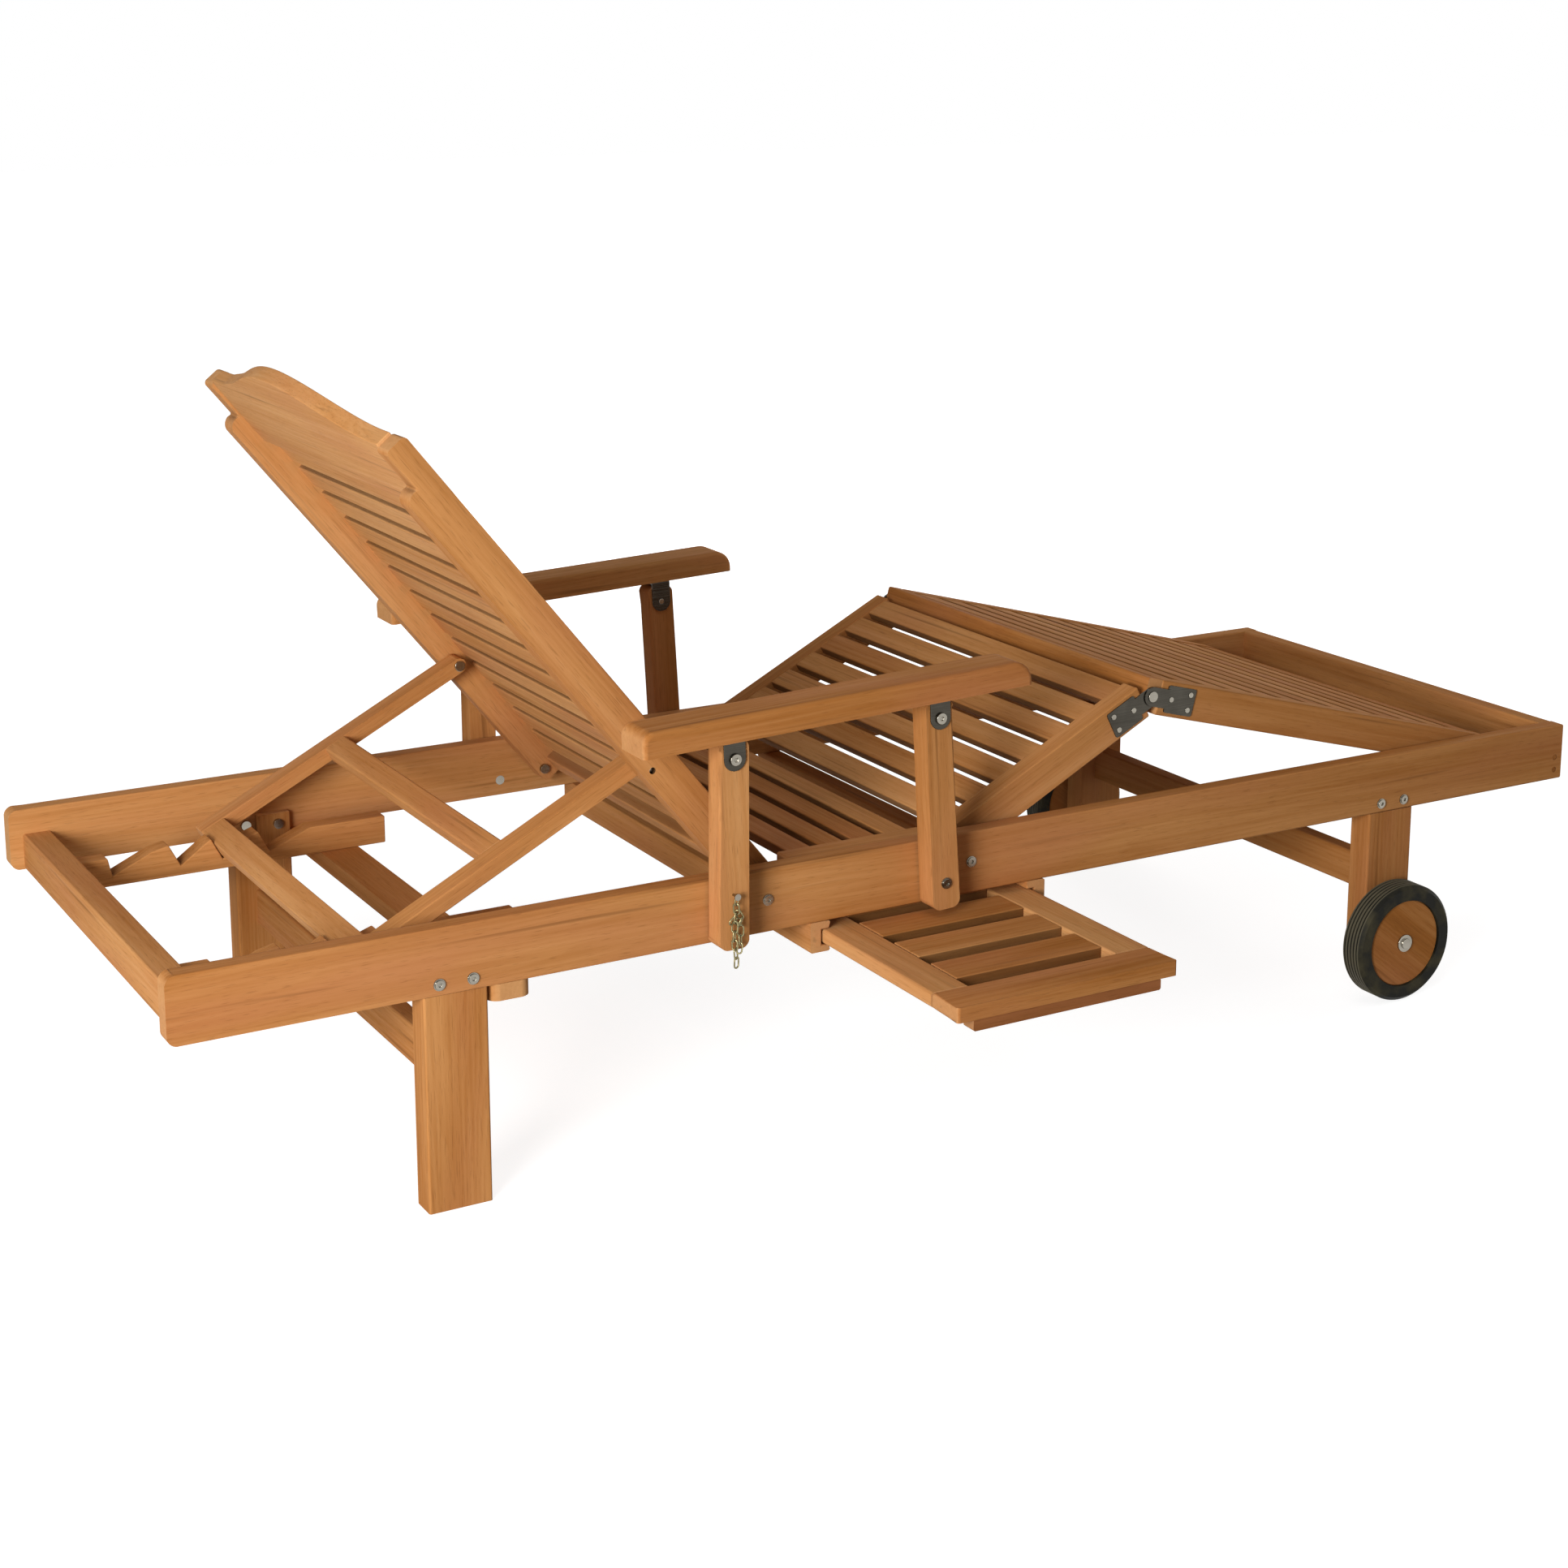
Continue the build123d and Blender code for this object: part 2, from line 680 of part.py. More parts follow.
# Prop frame: two arms, a middle bar, and an end bar bevelled to seat in the notches
prop_outer = bar_inner - prop_side_gap
prop_inner = prop_outer - prop_arm_wide
with BuildPart() as prop_arms:
    with BuildSketch(prop_view(-prop_outer)):
        with Locations((prop_length / 2, 0)):
            Rectangle(prop_length, prop_thick)
        Circle(prop_half)
        Circle(bolt_radius + running_fit, mode=Mode.SUBTRACT)
    extrude(amount=prop_arm_wide)
    mirror(about=centre)
prop_arms.part.label = "prop_arms"
export_step(prop_arms.part, "parts/prop_arms.step")

with BuildPart() as prop_mid_bar:
    bar(prop_view(-prop_inner), mid_bar_at, mid_bar_at + mid_bar_wide, -prop_half, prop_half,
        2 * prop_inner, edge_round)
prop_mid_bar.part.label = "prop_mid_bar"
export_step(prop_mid_bar.part, "parts/prop_mid_bar.step")

with BuildPart() as prop_end_bar:
    end_bar_start = prop_length - end_bar_wide
    with BuildSketch(prop_view(-prop_inner)):
        with BuildLine():
            Polyline(
                (end_bar_start, prop_half),
                (end_bar_start, end_bar_bevel_high - prop_half),
                (end_bar_start + end_bar_bevel_long, -prop_half),
                (prop_length, -prop_half),
                (prop_length, prop_half),
                close=True,
            )
        make_face()
    extrude(amount=2 * prop_inner)
prop_end_bar.part.label = "prop_end_bar"
export_step(prop_end_bar.part, "parts/prop_end_bar.step")

# Bolts on which the prop frame turns
with BuildPart() as prop_bolts:
    bolt_face = prop_inner - face_gap
    bolt_end = bar_inner + prop_bolt_grip
    disc(back_view(-bolt_end), prop_along, prop_out, bolt_radius, bolt_end - bolt_face)
    disc(back_view(-bolt_face), prop_along, prop_out, bolt_head_radius, bolt_head_high)
    mirror(about=centre)
prop_bolts.part.label = "prop_bolts"
export_step(prop_bolts.part, "parts/prop_bolts.step")

# Knee hinge screws: three per leaf, given from the knee outward
leaf_middle = leaf_near + leaf_long / 2
leaf_half = leaf_high / 2
screw_low = -leaf_half + screw_inset
screw_high = leaf_half - screw_inset
screw_spots = [(leaf_near + screw_inset, 0), (leaf_near + leaf_long - screw_inset, screw_low)]
screw_spots.append((leaf_near + leaf_long - screw_inset, screw_high))
thigh_spots = [(knee_along - s, knee_out + n) for s, n in screw_spots]
thigh_end = knee_along - knee_gap

# Thigh section
with BuildPart() as thigh_bars:
    with BuildSketch(thigh_view(-bar_inner)):
        with Locations(((thigh_end - bar_end) / 2, (bar_high + bar_low) / 2)):
            Rectangle(thigh_end + bar_end, bar_depth)
        fillet(vertices().sort_by_distance((-bar_end, bar_high))[0], radius=bar_end_round)
        fillet(vertices().sort_by_distance((-bar_end, bar_low))[0], radius=heel_round)
        Circle(bolt_radius + running_fit, mode=Mode.SUBTRACT)
    extrude(amount=bar_thick)
    for spot in thigh_spots:
        disc(thigh_view(-bar_outer), *spot, screw_radius, -screw_deep, Mode.SUBTRACT)
    mirror(about=centre)
thigh_bars.part.label = "thigh_bars"
export_step(thigh_bars.part, "parts/thigh_bars.step")

with BuildPart() as thigh_slats:
    for slat_index in range(thigh_slat_count):
        slat_end = thigh_end - thigh_slat_margin - slat_index * slat_pitch
        bar(thigh_view(bar_inner), slat_end - slat_width, slat_end, slat_top - slat_thick, slat_top,
            2 * bar_inner, slat_round)
thigh_slats.part.label = "thigh_slats"
export_step(thigh_slats.part, "parts/thigh_slats.step")

with BuildPart() as thigh_leaves:
    with BuildSketch(thigh_view(-bar_outer)):
        with Locations((knee_along - leaf_middle, knee_out)):
            RectangleRounded(leaf_long, leaf_high, leaf_corner)
        with Locations((knee_along - leaf_near / 2 - leaf_corner / 2, knee_out)):
            Rectangle(leaf_near + leaf_corner, 2 * lug_radius)
        with Locations((knee_along, knee_out)):
            Circle(lug_radius)
        with Locations((knee_along, knee_out)):
            Circle(rivet_radius + running_fit, mode=Mode.SUBTRACT)
        with Locations(thigh_spots):
            Circle(screw_radius, mode=Mode.SUBTRACT)
    extrude(amount=leaf_thick)
    mirror(about=centre)
thigh_leaves.part.label = "thigh_leaves"
export_step(thigh_leaves.part, "parts/thigh_leaves.step")

with BuildPart() as thigh_screws:
    for spot in thigh_spots:
        disc(thigh_view(-bar_outer + screw_deep), *spot, screw_radius, screw_deep + leaf_thick)
        disc(thigh_view(-bar_outer - leaf_thick), *spot, screw_head_radius, screw_head_high)
    mirror(about=centre)
thigh_screws.part.label = "thigh_screws"
export_step(thigh_screws.part, "parts/thigh_screws.step")

# Foot section
with BuildPart() as foot_bars:
    with BuildSketch(foot_view(-bar_inner)):
        with Locations(((foot_length + knee_gap) / 2, 0)):
            Rectangle(foot_length - knee_gap, bar_depth)
        fillet(vertices().sort_by_distance((foot_length, half_depth))[0], radius=edge_round)
    extrude(amount=bar_thick)
    for spot in screw_spots:
        disc(foot_view(-bar_outer), *spot, screw_radius, -screw_deep, Mode.SUBTRACT)
    mirror(about=centre)
foot_bars.part.label = "foot_bars"
export_step(foot_bars.part, "parts/foot_bars.step")

with BuildPart() as knee_rail:
    knee_rail_half = bar_outer - knee_rail_play
    bar(foot_view(knee_rail_half), -knee_lap, knee_gap, half_depth - knee_rail_high, half_depth,
        2 * knee_rail_half, edge_round)
knee_rail.part.label = "knee_rail"
export_step(knee_rail.part, "parts/knee_rail.step")

with BuildPart() as foot_slats:
    for slat_index in range(foot_slat_count):
        slat_start = knee_gap + slat_gap + slat_index * slat_pitch
        bar(foot_view(bar_inner), slat_start, slat_start + slat_width, half_depth - slat_drop - slat_thick,
            half_depth - slat_drop, 2 * bar_inner, slat_round)
foot_slats.part.label = "foot_slats"
export_step(foot_slats.part, "parts/foot_slats.step")

# Foot leaf of the knee hinge: a plate on the side bar, stepped out to pass over the thigh leaf's lug
lug_face = bar_outer + leaf_thick + leaf_gap
with BuildPart() as foot_leaves:
    with BuildSketch(foot_view(-bar_outer)):
        with Locations((leaf_middle, 0)):
            RectangleRounded(leaf_long, leaf_high, leaf_corner)
        with Locations(screw_spots):
            Circle(screw_radius, mode=Mode.SUBTRACT)
    extrude(amount=leaf_thick)
    with BuildSketch(foot_view(-bar_outer)):
        with Locations((leaf_near - joggle_long / 2 + leaf_corner, 0)):
            Rectangle(joggle_long, 2 * lug_radius)
    extrude(amount=lug_face + leaf_thick - bar_outer)
    with BuildSketch(foot_view(-lug_face)):
        with Locations((leaf_near / 2 + leaf_corner / 2, 0)):
            Rectangle(leaf_near + leaf_corner, 2 * lug_radius)
        Circle(lug_radius)
        Circle(rivet_radius, mode=Mode.SUBTRACT)
    extrude(amount=leaf_thick)
    mirror(about=centre)
foot_leaves.part.label = "foot_leaves"
export_step(foot_leaves.part, "parts/foot_leaves.step")

with BuildPart() as foot_screws:
    for spot in screw_spots:
        disc(foot_view(-bar_outer + screw_deep), *spot, screw_radius, screw_deep + leaf_thick)
        disc(foot_view(-bar_outer - leaf_thick), *spot, screw_head_radius, screw_head_high)
    mirror(about=centre)
foot_screws.part.label = "foot_screws"
export_step(foot_screws.part, "parts/foot_screws.step")

with BuildPart() as knee_rivets:
    disc(foot_view(-bar_outer), 0, 0, rivet_radius, lug_face + leaf_thick - bar_outer)
    disc(foot_view(-lug_face - leaf_thick), 0, 0, rivet_head_radius, rivet_head_high)
    mirror(about=centre)
knee_rivets.part.label = "knee_rivets"
export_step(knee_rivets.part, "parts/knee_rivets.step")

# Tray: two side bars behind a front board, slats between the bars, and a grip strip below the front
tray_board_back = tray_front + tray_slat_wide
tray_back = tray_board_back + tray_slat_count * (tray_slat_wide + tray_slot)
with BuildPart() as tray_bars:
    for tray_bar_x in (tray_head, tray_foot - tray_bar_wide):
        bar(across(tray_back), tray_bar_x, tray_bar_x + tray_bar_wide, tray_low, tray_top,
            tray_back - tray_board_back, tray_round)
tray_bars.part.label = "tray_bars"
export_step(tray_bars.part, "parts/tray_bars.step")

with BuildPart() as tray_front_board:
    with BuildSketch(Plane(origin=(0, mid_y, tray_low))):
        with Locations(((tray_head + tray_foot) / 2, (tray_front + tray_board_back) / 2)):
            Rectangle(tray_wide, tray_slat_wide)
        fillet(vertices().sort_by(Axis.Y)[:2], radius=tray_round)
    extrude(amount=tray_thick)
tray_front_board.part.label = "tray_front_board"
export_step(tray_front_board.part, "parts/tray_front_board.step")

with BuildPart() as tray_slats:
    for slat_index in range(tray_slat_count):
        tray_slat_y = tray_back - slat_index * (tray_slat_wide + tray_slot)
        with BuildSketch(across(tray_slat_y)):
            with Locations(((tray_head + tray_foot) / 2, (tray_low + tray_top) / 2)):
                Rectangle(tray_wide - 2 * tray_bar_wide, tray_thick)
        extrude(amount=tray_slat_wide)
tray_slats.part.label = "tray_slats"
export_step(tray_slats.part, "parts/tray_slats.step")

with BuildPart() as tray_grip:
    grip_front = tray_front + grip_back
    bar(across(grip_front + grip_wide), tray_head + grip_inset, tray_foot - grip_inset, tray_low - grip_high,
        tray_low, grip_wide, edge_round)
tray_grip.part.label = "tray_grip"
export_step(tray_grip.part, "parts/tray_grip.step")

# Wheels: wooden disc in a ribbed rubber tyre
with BuildPart() as wheel_disc_near:
    disc(across(-disc_inner), axle_x, wheel_radius, disc_radius, disc_wide)
    chamfer(wheel_disc_near.edges().filter_by(GeomType.CIRCLE), length=edge_round / 2)
    disc(across(-disc_inner), axle_x, wheel_radius, bolt_radius + running_fit, disc_wide, Mode.SUBTRACT)
wheel_disc_near.part.label = "wheel_disc_near"
export_step(wheel_disc_near.part, "parts/wheel_disc_near.step")

with BuildPart() as wheel_disc_far:
    mirror(wheel_disc_near.part, about=centre)
wheel_disc_far.part.label = "wheel_disc_far"
export_step(wheel_disc_far.part, "parts/wheel_disc_far.step")

with BuildPart() as tyre_near:
    tyre_view = Plane(origin=(axle_x, mid_y - wheel_inner, wheel_radius), x_dir=(0, 0, 1), z_dir=(1, 0, 0))
    tread_pitch = (wheel_wide - 2 * tyre_shoulder) / tread_count
    tyre_outline = [(disc_radius, 0), (wheel_radius - tyre_shoulder, 0), (wheel_radius, tyre_shoulder)]
    for tread_index in range(tread_count):
        tread_mid = tyre_shoulder + (tread_index + 0.5) * tread_pitch
        tyre_outline.append((wheel_radius, tread_mid - tread_wide / 2))
        tyre_outline.append((wheel_radius - tread_deep, tread_mid))
        tyre_outline.append((wheel_radius, tread_mid + tread_wide / 2))
    tyre_outline.append((wheel_radius, wheel_wide - tyre_shoulder))
    tyre_outline.append((wheel_radius - tyre_shoulder, wheel_wide))
    tyre_outline.append((disc_radius, wheel_wide))
    with BuildSketch(tyre_view):
        with BuildLine():
            Polyline(tyre_outline, close=True)
        make_face()
    revolve(axis=Axis((axle_x, mid_y, wheel_radius), (0, 1, 0)))
tyre_near.part.label = "tyre_near"
export_step(tyre_near.part, "parts/tyre_near.step")

with BuildPart() as tyre_far:
    mirror(tyre_near.part, about=centre)
tyre_far.part.label = "tyre_far"
export_step(tyre_far.part, "parts/tyre_far.step")

# Arm posts: the rear one upright, the front one leaning with the line between its pivots
arm_tilt = atan2(arm_lean, arm_lift)
arm_slope = atan2(arm_front_rise, arm_front_x - arm_rear_x)
rear_top_x = head + arm_rear_x - arm_lean
rear_top_z = arm_rear_z + arm_lift
front_low_x = head + arm_front_x
front_low_z = arm_rear_z + arm_front_rise
with BuildPart() as rear_post_near:
    post_foot_z = arm_rear_z - post_tail
    post_head_z = rear_top_z + post_crown
    with BuildSketch(across(-post_inner)):
        with Locations((rear_top_x, (post_foot_z + post_head_z) / 2)):
            RectangleRounded(post_wide, post_head_z - post_foot_z, post_round)
        with Locations((rear_top_x, rear_top_z)):
            Circle(bolt_radius + open_fit, mode=Mode.SUBTRACT)
    extrude(amount=post_thick)
    hole_start = across(-post_inner)
    disc(hole_start, head + arm_rear_x, arm_rear_z, bolt_radius + running_fit, rear_hole, Mode.SUBTRACT)
    chain_x = head + chain_screw_x
    disc(across(-post_outer), chain_x, chain_screw_z, chain_screw_radius, -chain_screw_deep, Mode.SUBTRACT)
rear_post_near.part.label = "rear_post_near"
export_step(rear_post_near.part, "parts/rear_post_near.step")

with BuildPart() as rear_post_far:
    with BuildSketch(across(post_outer)):
        with Locations((rear_top_x, (post_foot_z + post_head_z) / 2)):
            RectangleRounded(post_wide, post_head_z - post_foot_z, post_round)
        with Locations((rear_top_x, rear_top_z)):
            Circle(bolt_radius + open_fit, mode=Mode.SUBTRACT)
    extrude(amount=post_thick)
    hole_end = across(post_inner + rear_hole)
    disc(hole_end, head + arm_rear_x, arm_rear_z, bolt_radius + running_fit, rear_hole, Mode.SUBTRACT)
rear_post_far.part.label = "rear_post_far"
export_step(rear_post_far.part, "parts/rear_post_far.step")

with BuildPart() as front_post_near:
    post_reach = hypot(arm_lean, arm_lift)
    front_view = Plane(origin=(front_low_x, mid_y - post_inner, front_low_z),
                       x_dir=(cos(arm_tilt), 0, sin(arm_tilt)), z_dir=(0, -1, 0))
    with BuildSketch(front_view):
        with Locations((0, (post_reach + post_crown - front_post_tail) / 2)):
            RectangleRounded(post_wide, post_reach + post_crown + front_post_tail, post_round)
        with Locations((0, 0), (0, post_reach)):
            Circle(bolt_radius + running_fit, mode=Mode.SUBTRACT)
    extrude(amount=post_thick)
front_post_near.part.label = "front_post_near"
export_step(front_post_near.part, "parts/front_post_near.step")

with BuildPart() as front_post_far:
    mirror(front_post_near.part, about=centre)
front_post_far.part.label = "front_post_far"
export_step(front_post_far.part, "parts/front_post_far.step")


def arm_view(y):
    """Plane of an armrest's side view at y, from its rear pivot: local axes run along and above the arm."""
    rear_pivot = (rear_top_x, mid_y + y, rear_top_z)
    return Plane(origin=rear_pivot, x_dir=(cos(arm_slope), 0, sin(arm_slope)), z_dir=(0, -1, 0))


# Armrests with a rounded nose and softened top edges
arm_span = hypot(arm_front_rise, arm_front_x - arm_rear_x)
arm_top = arm_above_pivot + arm_thick
with BuildPart() as armrest_near:
    arm_start = -arm_rear_over
    arm_end = arm_span + arm_front_over
    with BuildSketch(arm_view(-arm_inner)):
        with Locations(((arm_start + arm_end) / 2, (arm_above_pivot + arm_top) / 2)):
            Rectangle(arm_end - arm_start, arm_thick)
        fillet(vertices().sort_by_distance((arm_end, arm_top))[0], radius=arm_nose_round)
        fillet(vertices().sort_by_distance((arm_start, arm_top))[0], radius=arm_end_round)
    extrude(amount=arm_wide)
    arm_sides = faces().filter_by(Axis.Y)
    arm_soft = [edge for face in arm_sides for edge in face.edges().sort_by(SortBy.LENGTH)[:-1]]
    fillet(arm_soft, radius=arm_edge)
armrest_near.part.label = "armrest_near"
export_step(armrest_near.part, "parts/armrest_near.step")

with BuildPart() as armrest_far:
    mirror(armrest_near.part, about=centre)
armrest_far.part.label = "armrest_far"
export_step(armrest_far.part, "parts/armrest_far.step")

# Forked steel brackets below the armrests
tab_inner = post_inner - bracket_gap - bracket_thick
tab_outer = post_outer + bracket_gap + bracket_thick
with BuildPart() as arm_brackets_near:
    for tab_x in (0, arm_span):
        for tab_y in (tab_inner, tab_outer - bracket_thick):
            with BuildSketch(arm_view(-tab_y)):
                with Locations((tab_x, arm_above_pivot / 2)):
                    Rectangle(bracket_wide, arm_above_pivot)
                with Locations((tab_x, 0)):
                    Circle(bracket_wide / 2)
                with Locations((tab_x, 0)):
                    Circle(bolt_radius, mode=Mode.SUBTRACT)
            extrude(amount=bracket_thick)
        with BuildSketch(arm_view(-tab_inner)):
            with Locations((tab_x, arm_above_pivot - bracket_thick / 2)):
                Rectangle(bracket_wide, bracket_thick)
        extrude(amount=tab_outer - tab_inner)
arm_brackets_near.part.label = "arm_brackets_near"
export_step(arm_brackets_near.part, "parts/arm_brackets_near.step")

with BuildPart() as arm_brackets_far:
    mirror(arm_brackets_near.part, about=centre)
arm_brackets_far.part.label = "arm_brackets_far"
export_step(arm_brackets_far.part, "parts/arm_brackets_far.step")

with BuildPart() as arm_bolts_near:
    for bolt_x in (0, arm_span):
        disc(arm_view(-tab_inner), bolt_x, 0, bolt_radius, tab_outer - tab_inner)
        disc(arm_view(-tab_outer), bolt_x, 0, bolt_head_radius, bolt_head_high)
        with BuildSketch(arm_view(-tab_outer - bolt_head_high)):
            with Locations((bolt_x, 0)):
                RegularPolygon(socket_radius, 6)
        extrude(amount=-socket_deep, mode=Mode.SUBTRACT)
arm_bolts_near.part.label = "arm_bolts_near"
export_step(arm_bolts_near.part, "parts/arm_bolts_near.step")

with BuildPart() as arm_bolts_far:
    mirror(arm_bolts_near.part, about=centre)
arm_bolts_far.part.label = "arm_bolts_far"
export_step(arm_bolts_far.part, "parts/arm_bolts_far.step")

# Chain on the near rear post
chain_y = post_outer + chain_gap + link_wide / 2
with BuildPart() as chain_screw:
    screw_tip = post_outer - chain_screw_deep
    screw_face = chain_y + link_wire / 2 + chain_head_gap
    disc(across(-screw_tip), chain_x, chain_screw_z, chain_screw_radius, screw_face - screw_tip)
    disc(across(-screw_face), chain_x, chain_screw_z, chain_head_radius, chain_head_high)
chain_screw.part.label = "chain_screw"
export_step(chain_screw.part, "parts/chain_screw.step")

with BuildPart() as lock_chain:
    link_hole = link_long - 2 * link_wire
    first_link_z = chain_screw_z + chain_screw_radius + face_gap - link_hole / 2
    for link_index in range(link_count):
        link_z = first_link_z - link_index * (link_hole - link_slack)
        if link_index % 2:
            link_side = (chain_x - link_wire / 2, mid_y - chain_y, link_z)
            link_plane = Plane(origin=link_side, x_dir=(0, 0, 1), z_dir=(1, 0, 0))
        else:
            link_side = (chain_x, mid_y - chain_y + link_wire / 2, link_z)
            link_plane = Plane(origin=link_side, x_dir=(0, 0, 1), z_dir=(0, -1, 0))
        with BuildSketch(link_plane):
            SlotOverall(link_long, link_wide)
            SlotOverall(link_hole, link_wide - 2 * link_wire, mode=Mode.SUBTRACT)
        extrude(amount=link_wire)
lock_chain.part.label = "lock_chain"
export_step(lock_chain.part, "parts/lock_chain.step")
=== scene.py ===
"""Teak sun lounger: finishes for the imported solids, a round-wire lock chain and a plain studio.

Lengths are metres in the part's own frame: X from head to foot, Z up, the near side at the lower Y.
"""
import logging
from dataclasses import dataclass
from enum import Enum
from math import cos, radians, sin
from typing import Any

import bpy
from mathutils import Matrix, Vector


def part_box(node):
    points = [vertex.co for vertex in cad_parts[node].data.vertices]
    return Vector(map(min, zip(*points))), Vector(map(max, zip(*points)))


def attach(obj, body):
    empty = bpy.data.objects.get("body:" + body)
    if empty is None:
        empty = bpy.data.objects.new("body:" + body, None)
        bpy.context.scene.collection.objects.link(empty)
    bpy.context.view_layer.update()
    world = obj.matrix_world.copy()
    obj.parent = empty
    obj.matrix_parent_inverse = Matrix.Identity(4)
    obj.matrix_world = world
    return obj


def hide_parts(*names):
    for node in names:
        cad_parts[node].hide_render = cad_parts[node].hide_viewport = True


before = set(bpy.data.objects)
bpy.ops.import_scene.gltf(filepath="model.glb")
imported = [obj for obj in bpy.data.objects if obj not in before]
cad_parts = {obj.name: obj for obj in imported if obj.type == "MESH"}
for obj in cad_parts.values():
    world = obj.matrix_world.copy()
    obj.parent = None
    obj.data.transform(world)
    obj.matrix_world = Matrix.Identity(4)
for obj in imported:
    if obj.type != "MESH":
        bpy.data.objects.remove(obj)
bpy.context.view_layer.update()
log = logging.getLogger("sun_lounger")

Span = tuple[float, float]
Triple = tuple[float, float, float]
# A span of values, then the results at its start and at its end.
Ramp = tuple[float, float, float, float]

MM = 0.001
# Middle of the frame, which isn't the middle of the box, because the tray sticks out on the near side.
MIDDLE_Y = 0.114
SLAT_PITCH = 45.7 * MM

# A cell of the first size holds all boards of a kind, and one of the second holds those of one side.
WHOLE = 10.0
SIDE = 1.0
# A slat's cell starts a little before the slat, so that no slat lies in two cells.
SLAT_LEAD = 5 * MM

# Places of two axes in a board's own order, which is run, width and depth.
RUN, WIDTH = 0, 1
# Places of the Mix node's two colours and of the mixed one.
UNDER, OVER, MIXED = 6, 7, 2
# Most of a noise lies in this span.
NOISE_SPAN: Span = (0.3, 0.7)
# From an oblique face to one that is square to an axis, as a cosine.
SQUARE_SPAN: Span = (0.6, 0.95)
# Share of open sky over the bottom of a recess and over an open face.
SKY_SPAN: Span = (0.30, 0.92)
SKY_SAMPLES = 4

# Angles are in degrees.
MERGE_GAP = 0.01 * MM
FLAT_ANGLE = 0.05
SHADE_ANGLE = 40
SHARP_ANGLE = 50
SHORTEST_EDGE = 3.0 * MM
BEVEL_STEPS = 3


class Grain(Enum):
    """Axes of a sub-assembly's own frame along a board's run, width and depth."""

    ALONG = "XYZ"
    ACROSS = "YXZ"
    UPRIGHT = "ZXY"


class Ease(Enum):
    """Radius that sanding or tumbling leaves on an edge, in metres."""

    POST = 4.0 * MM
    BOARD = 2.4 * MM
    SLAT = 1.6 * MM
    CURVE = 1.2 * MM
    STEEL = 0.6 * MM
    RUBBER = 0.3 * MM

    @property
    def narrow(self) -> bool:
        """Whether the edge is narrow enough to go round holes and curves."""
        return self in (Ease.CURVE, Ease.STEEL, Ease.RUBBER)


def linear(code: str) -> tuple[float, float, float, float]:
    """Turn an sRGB hex colour into the linear colour that sockets take.

    Args:
        code: Six hex digits after a hash.

    Returns:
        Linear red, green and blue, with an alpha of one.
    """
    parts = [int(code[k:k + 2], 16) / 255 for k in (1, 3, 5)]
    red, green, blue = [p / 12.92 if p <= 0.04045 else ((p + 0.055) / 1.055) ** 2.4 for p in parts]
    return red, green, blue, 1.0


def add_node(tree: bpy.types.NodeTree, kind: str, inputs: dict[Any, Any] | tuple[Any, ...] = (),
             **settings: Any) -> bpy.types.Node:
    """Add a node with its settings, values and links.

    Args:
        tree: Node tree that gets the node.
        kind: Blender's name for the node type.
        inputs: What each input socket gets, which is a value, an output socket to link, or a node whose
            first output is linked. A dict names the input sockets, and a tuple takes them in order.
        settings: The node's own properties.

    Returns:
        The new node.
    """
    node = tree.nodes.new(kind)
    for name, value in settings.items():
        setattr(node, name, value)
    for socket, value in inputs.items() if isinstance(inputs, dict) else enumerate(inputs):
        source = value.outputs[0] if isinstance(value, bpy.types.Node) else value
        if isinstance(source, bpy.types.NodeSocket):
            tree.links.new(source, node.inputs[socket])
        else:
            node.inputs[socket].default_value = source
    return node


def painted_recess_shade(tree: bpy.types.NodeTree, reach: float, most: float, own: bool = True) -> bpy.types.Node:
    """Add a share of painted shade that grows in slots and grooves, where other faces are near.

    Args:
        tree: Node tree of the material.
        reach: Distance in metres over which another face makes a recess.
        most: Share at the bottom of a recess.
        own: Whether only the piece's own faces make a recess.

    Returns:
        Node of the share, zero on open faces.
    """
    sky = add_node(tree, "ShaderNodeAmbientOcclusion", {"Distance": reach},
                   samples=SKY_SAMPLES, only_local=own)
    return add_node(tree, "ShaderNodeMapRange", (sky.outputs["AO"], *SKY_SPAN, most, 0.0))


def blank_material(name: str) -> tuple[bpy.types.Material, bpy.types.NodeTree]:
    """Start a material with an empty node tree.

    Args:
        name: Name of the real material.

    Returns:
        The material and its node tree.
    """
    material = bpy.data.materials.new(name)
    material.use_nodes = True
    material.node_tree.nodes.clear()
    return material, material.node_tree


@dataclass(frozen=True)
class Pose:
    """Turn about Y, in degrees, and origin of a sub-assembly's own frame."""

    turn: float = 0.0
    origin: Triple = (0.0, 0.0, 0.0)


@dataclass(frozen=True)
class Boards:
    """Division of a piece into boards: their pitch and the first one's start, in width and in depth."""

    width: float = WHOLE
    width_start: float = -WHOLE / 2
    depth: float = WHOLE
    depth_start: float = -WHOLE / 2

    def counts(self) -> Triple:
        """Boards to a metre of run, width and depth."""
        return 1 / WHOLE, 1 / self.width, 1 / self.depth

    def offsets(self) -> Triple:
        """Boards from the first one's start to the frame's origin."""
        return 0.5, -self.width_start / self.width, -self.depth_start / self.depth


@dataclass(frozen=True)
class Marks:
    """Noise drawn out along the grain: length and width of a mark, and octaves of finer ones."""

    length: float
    width: float
    detail: float


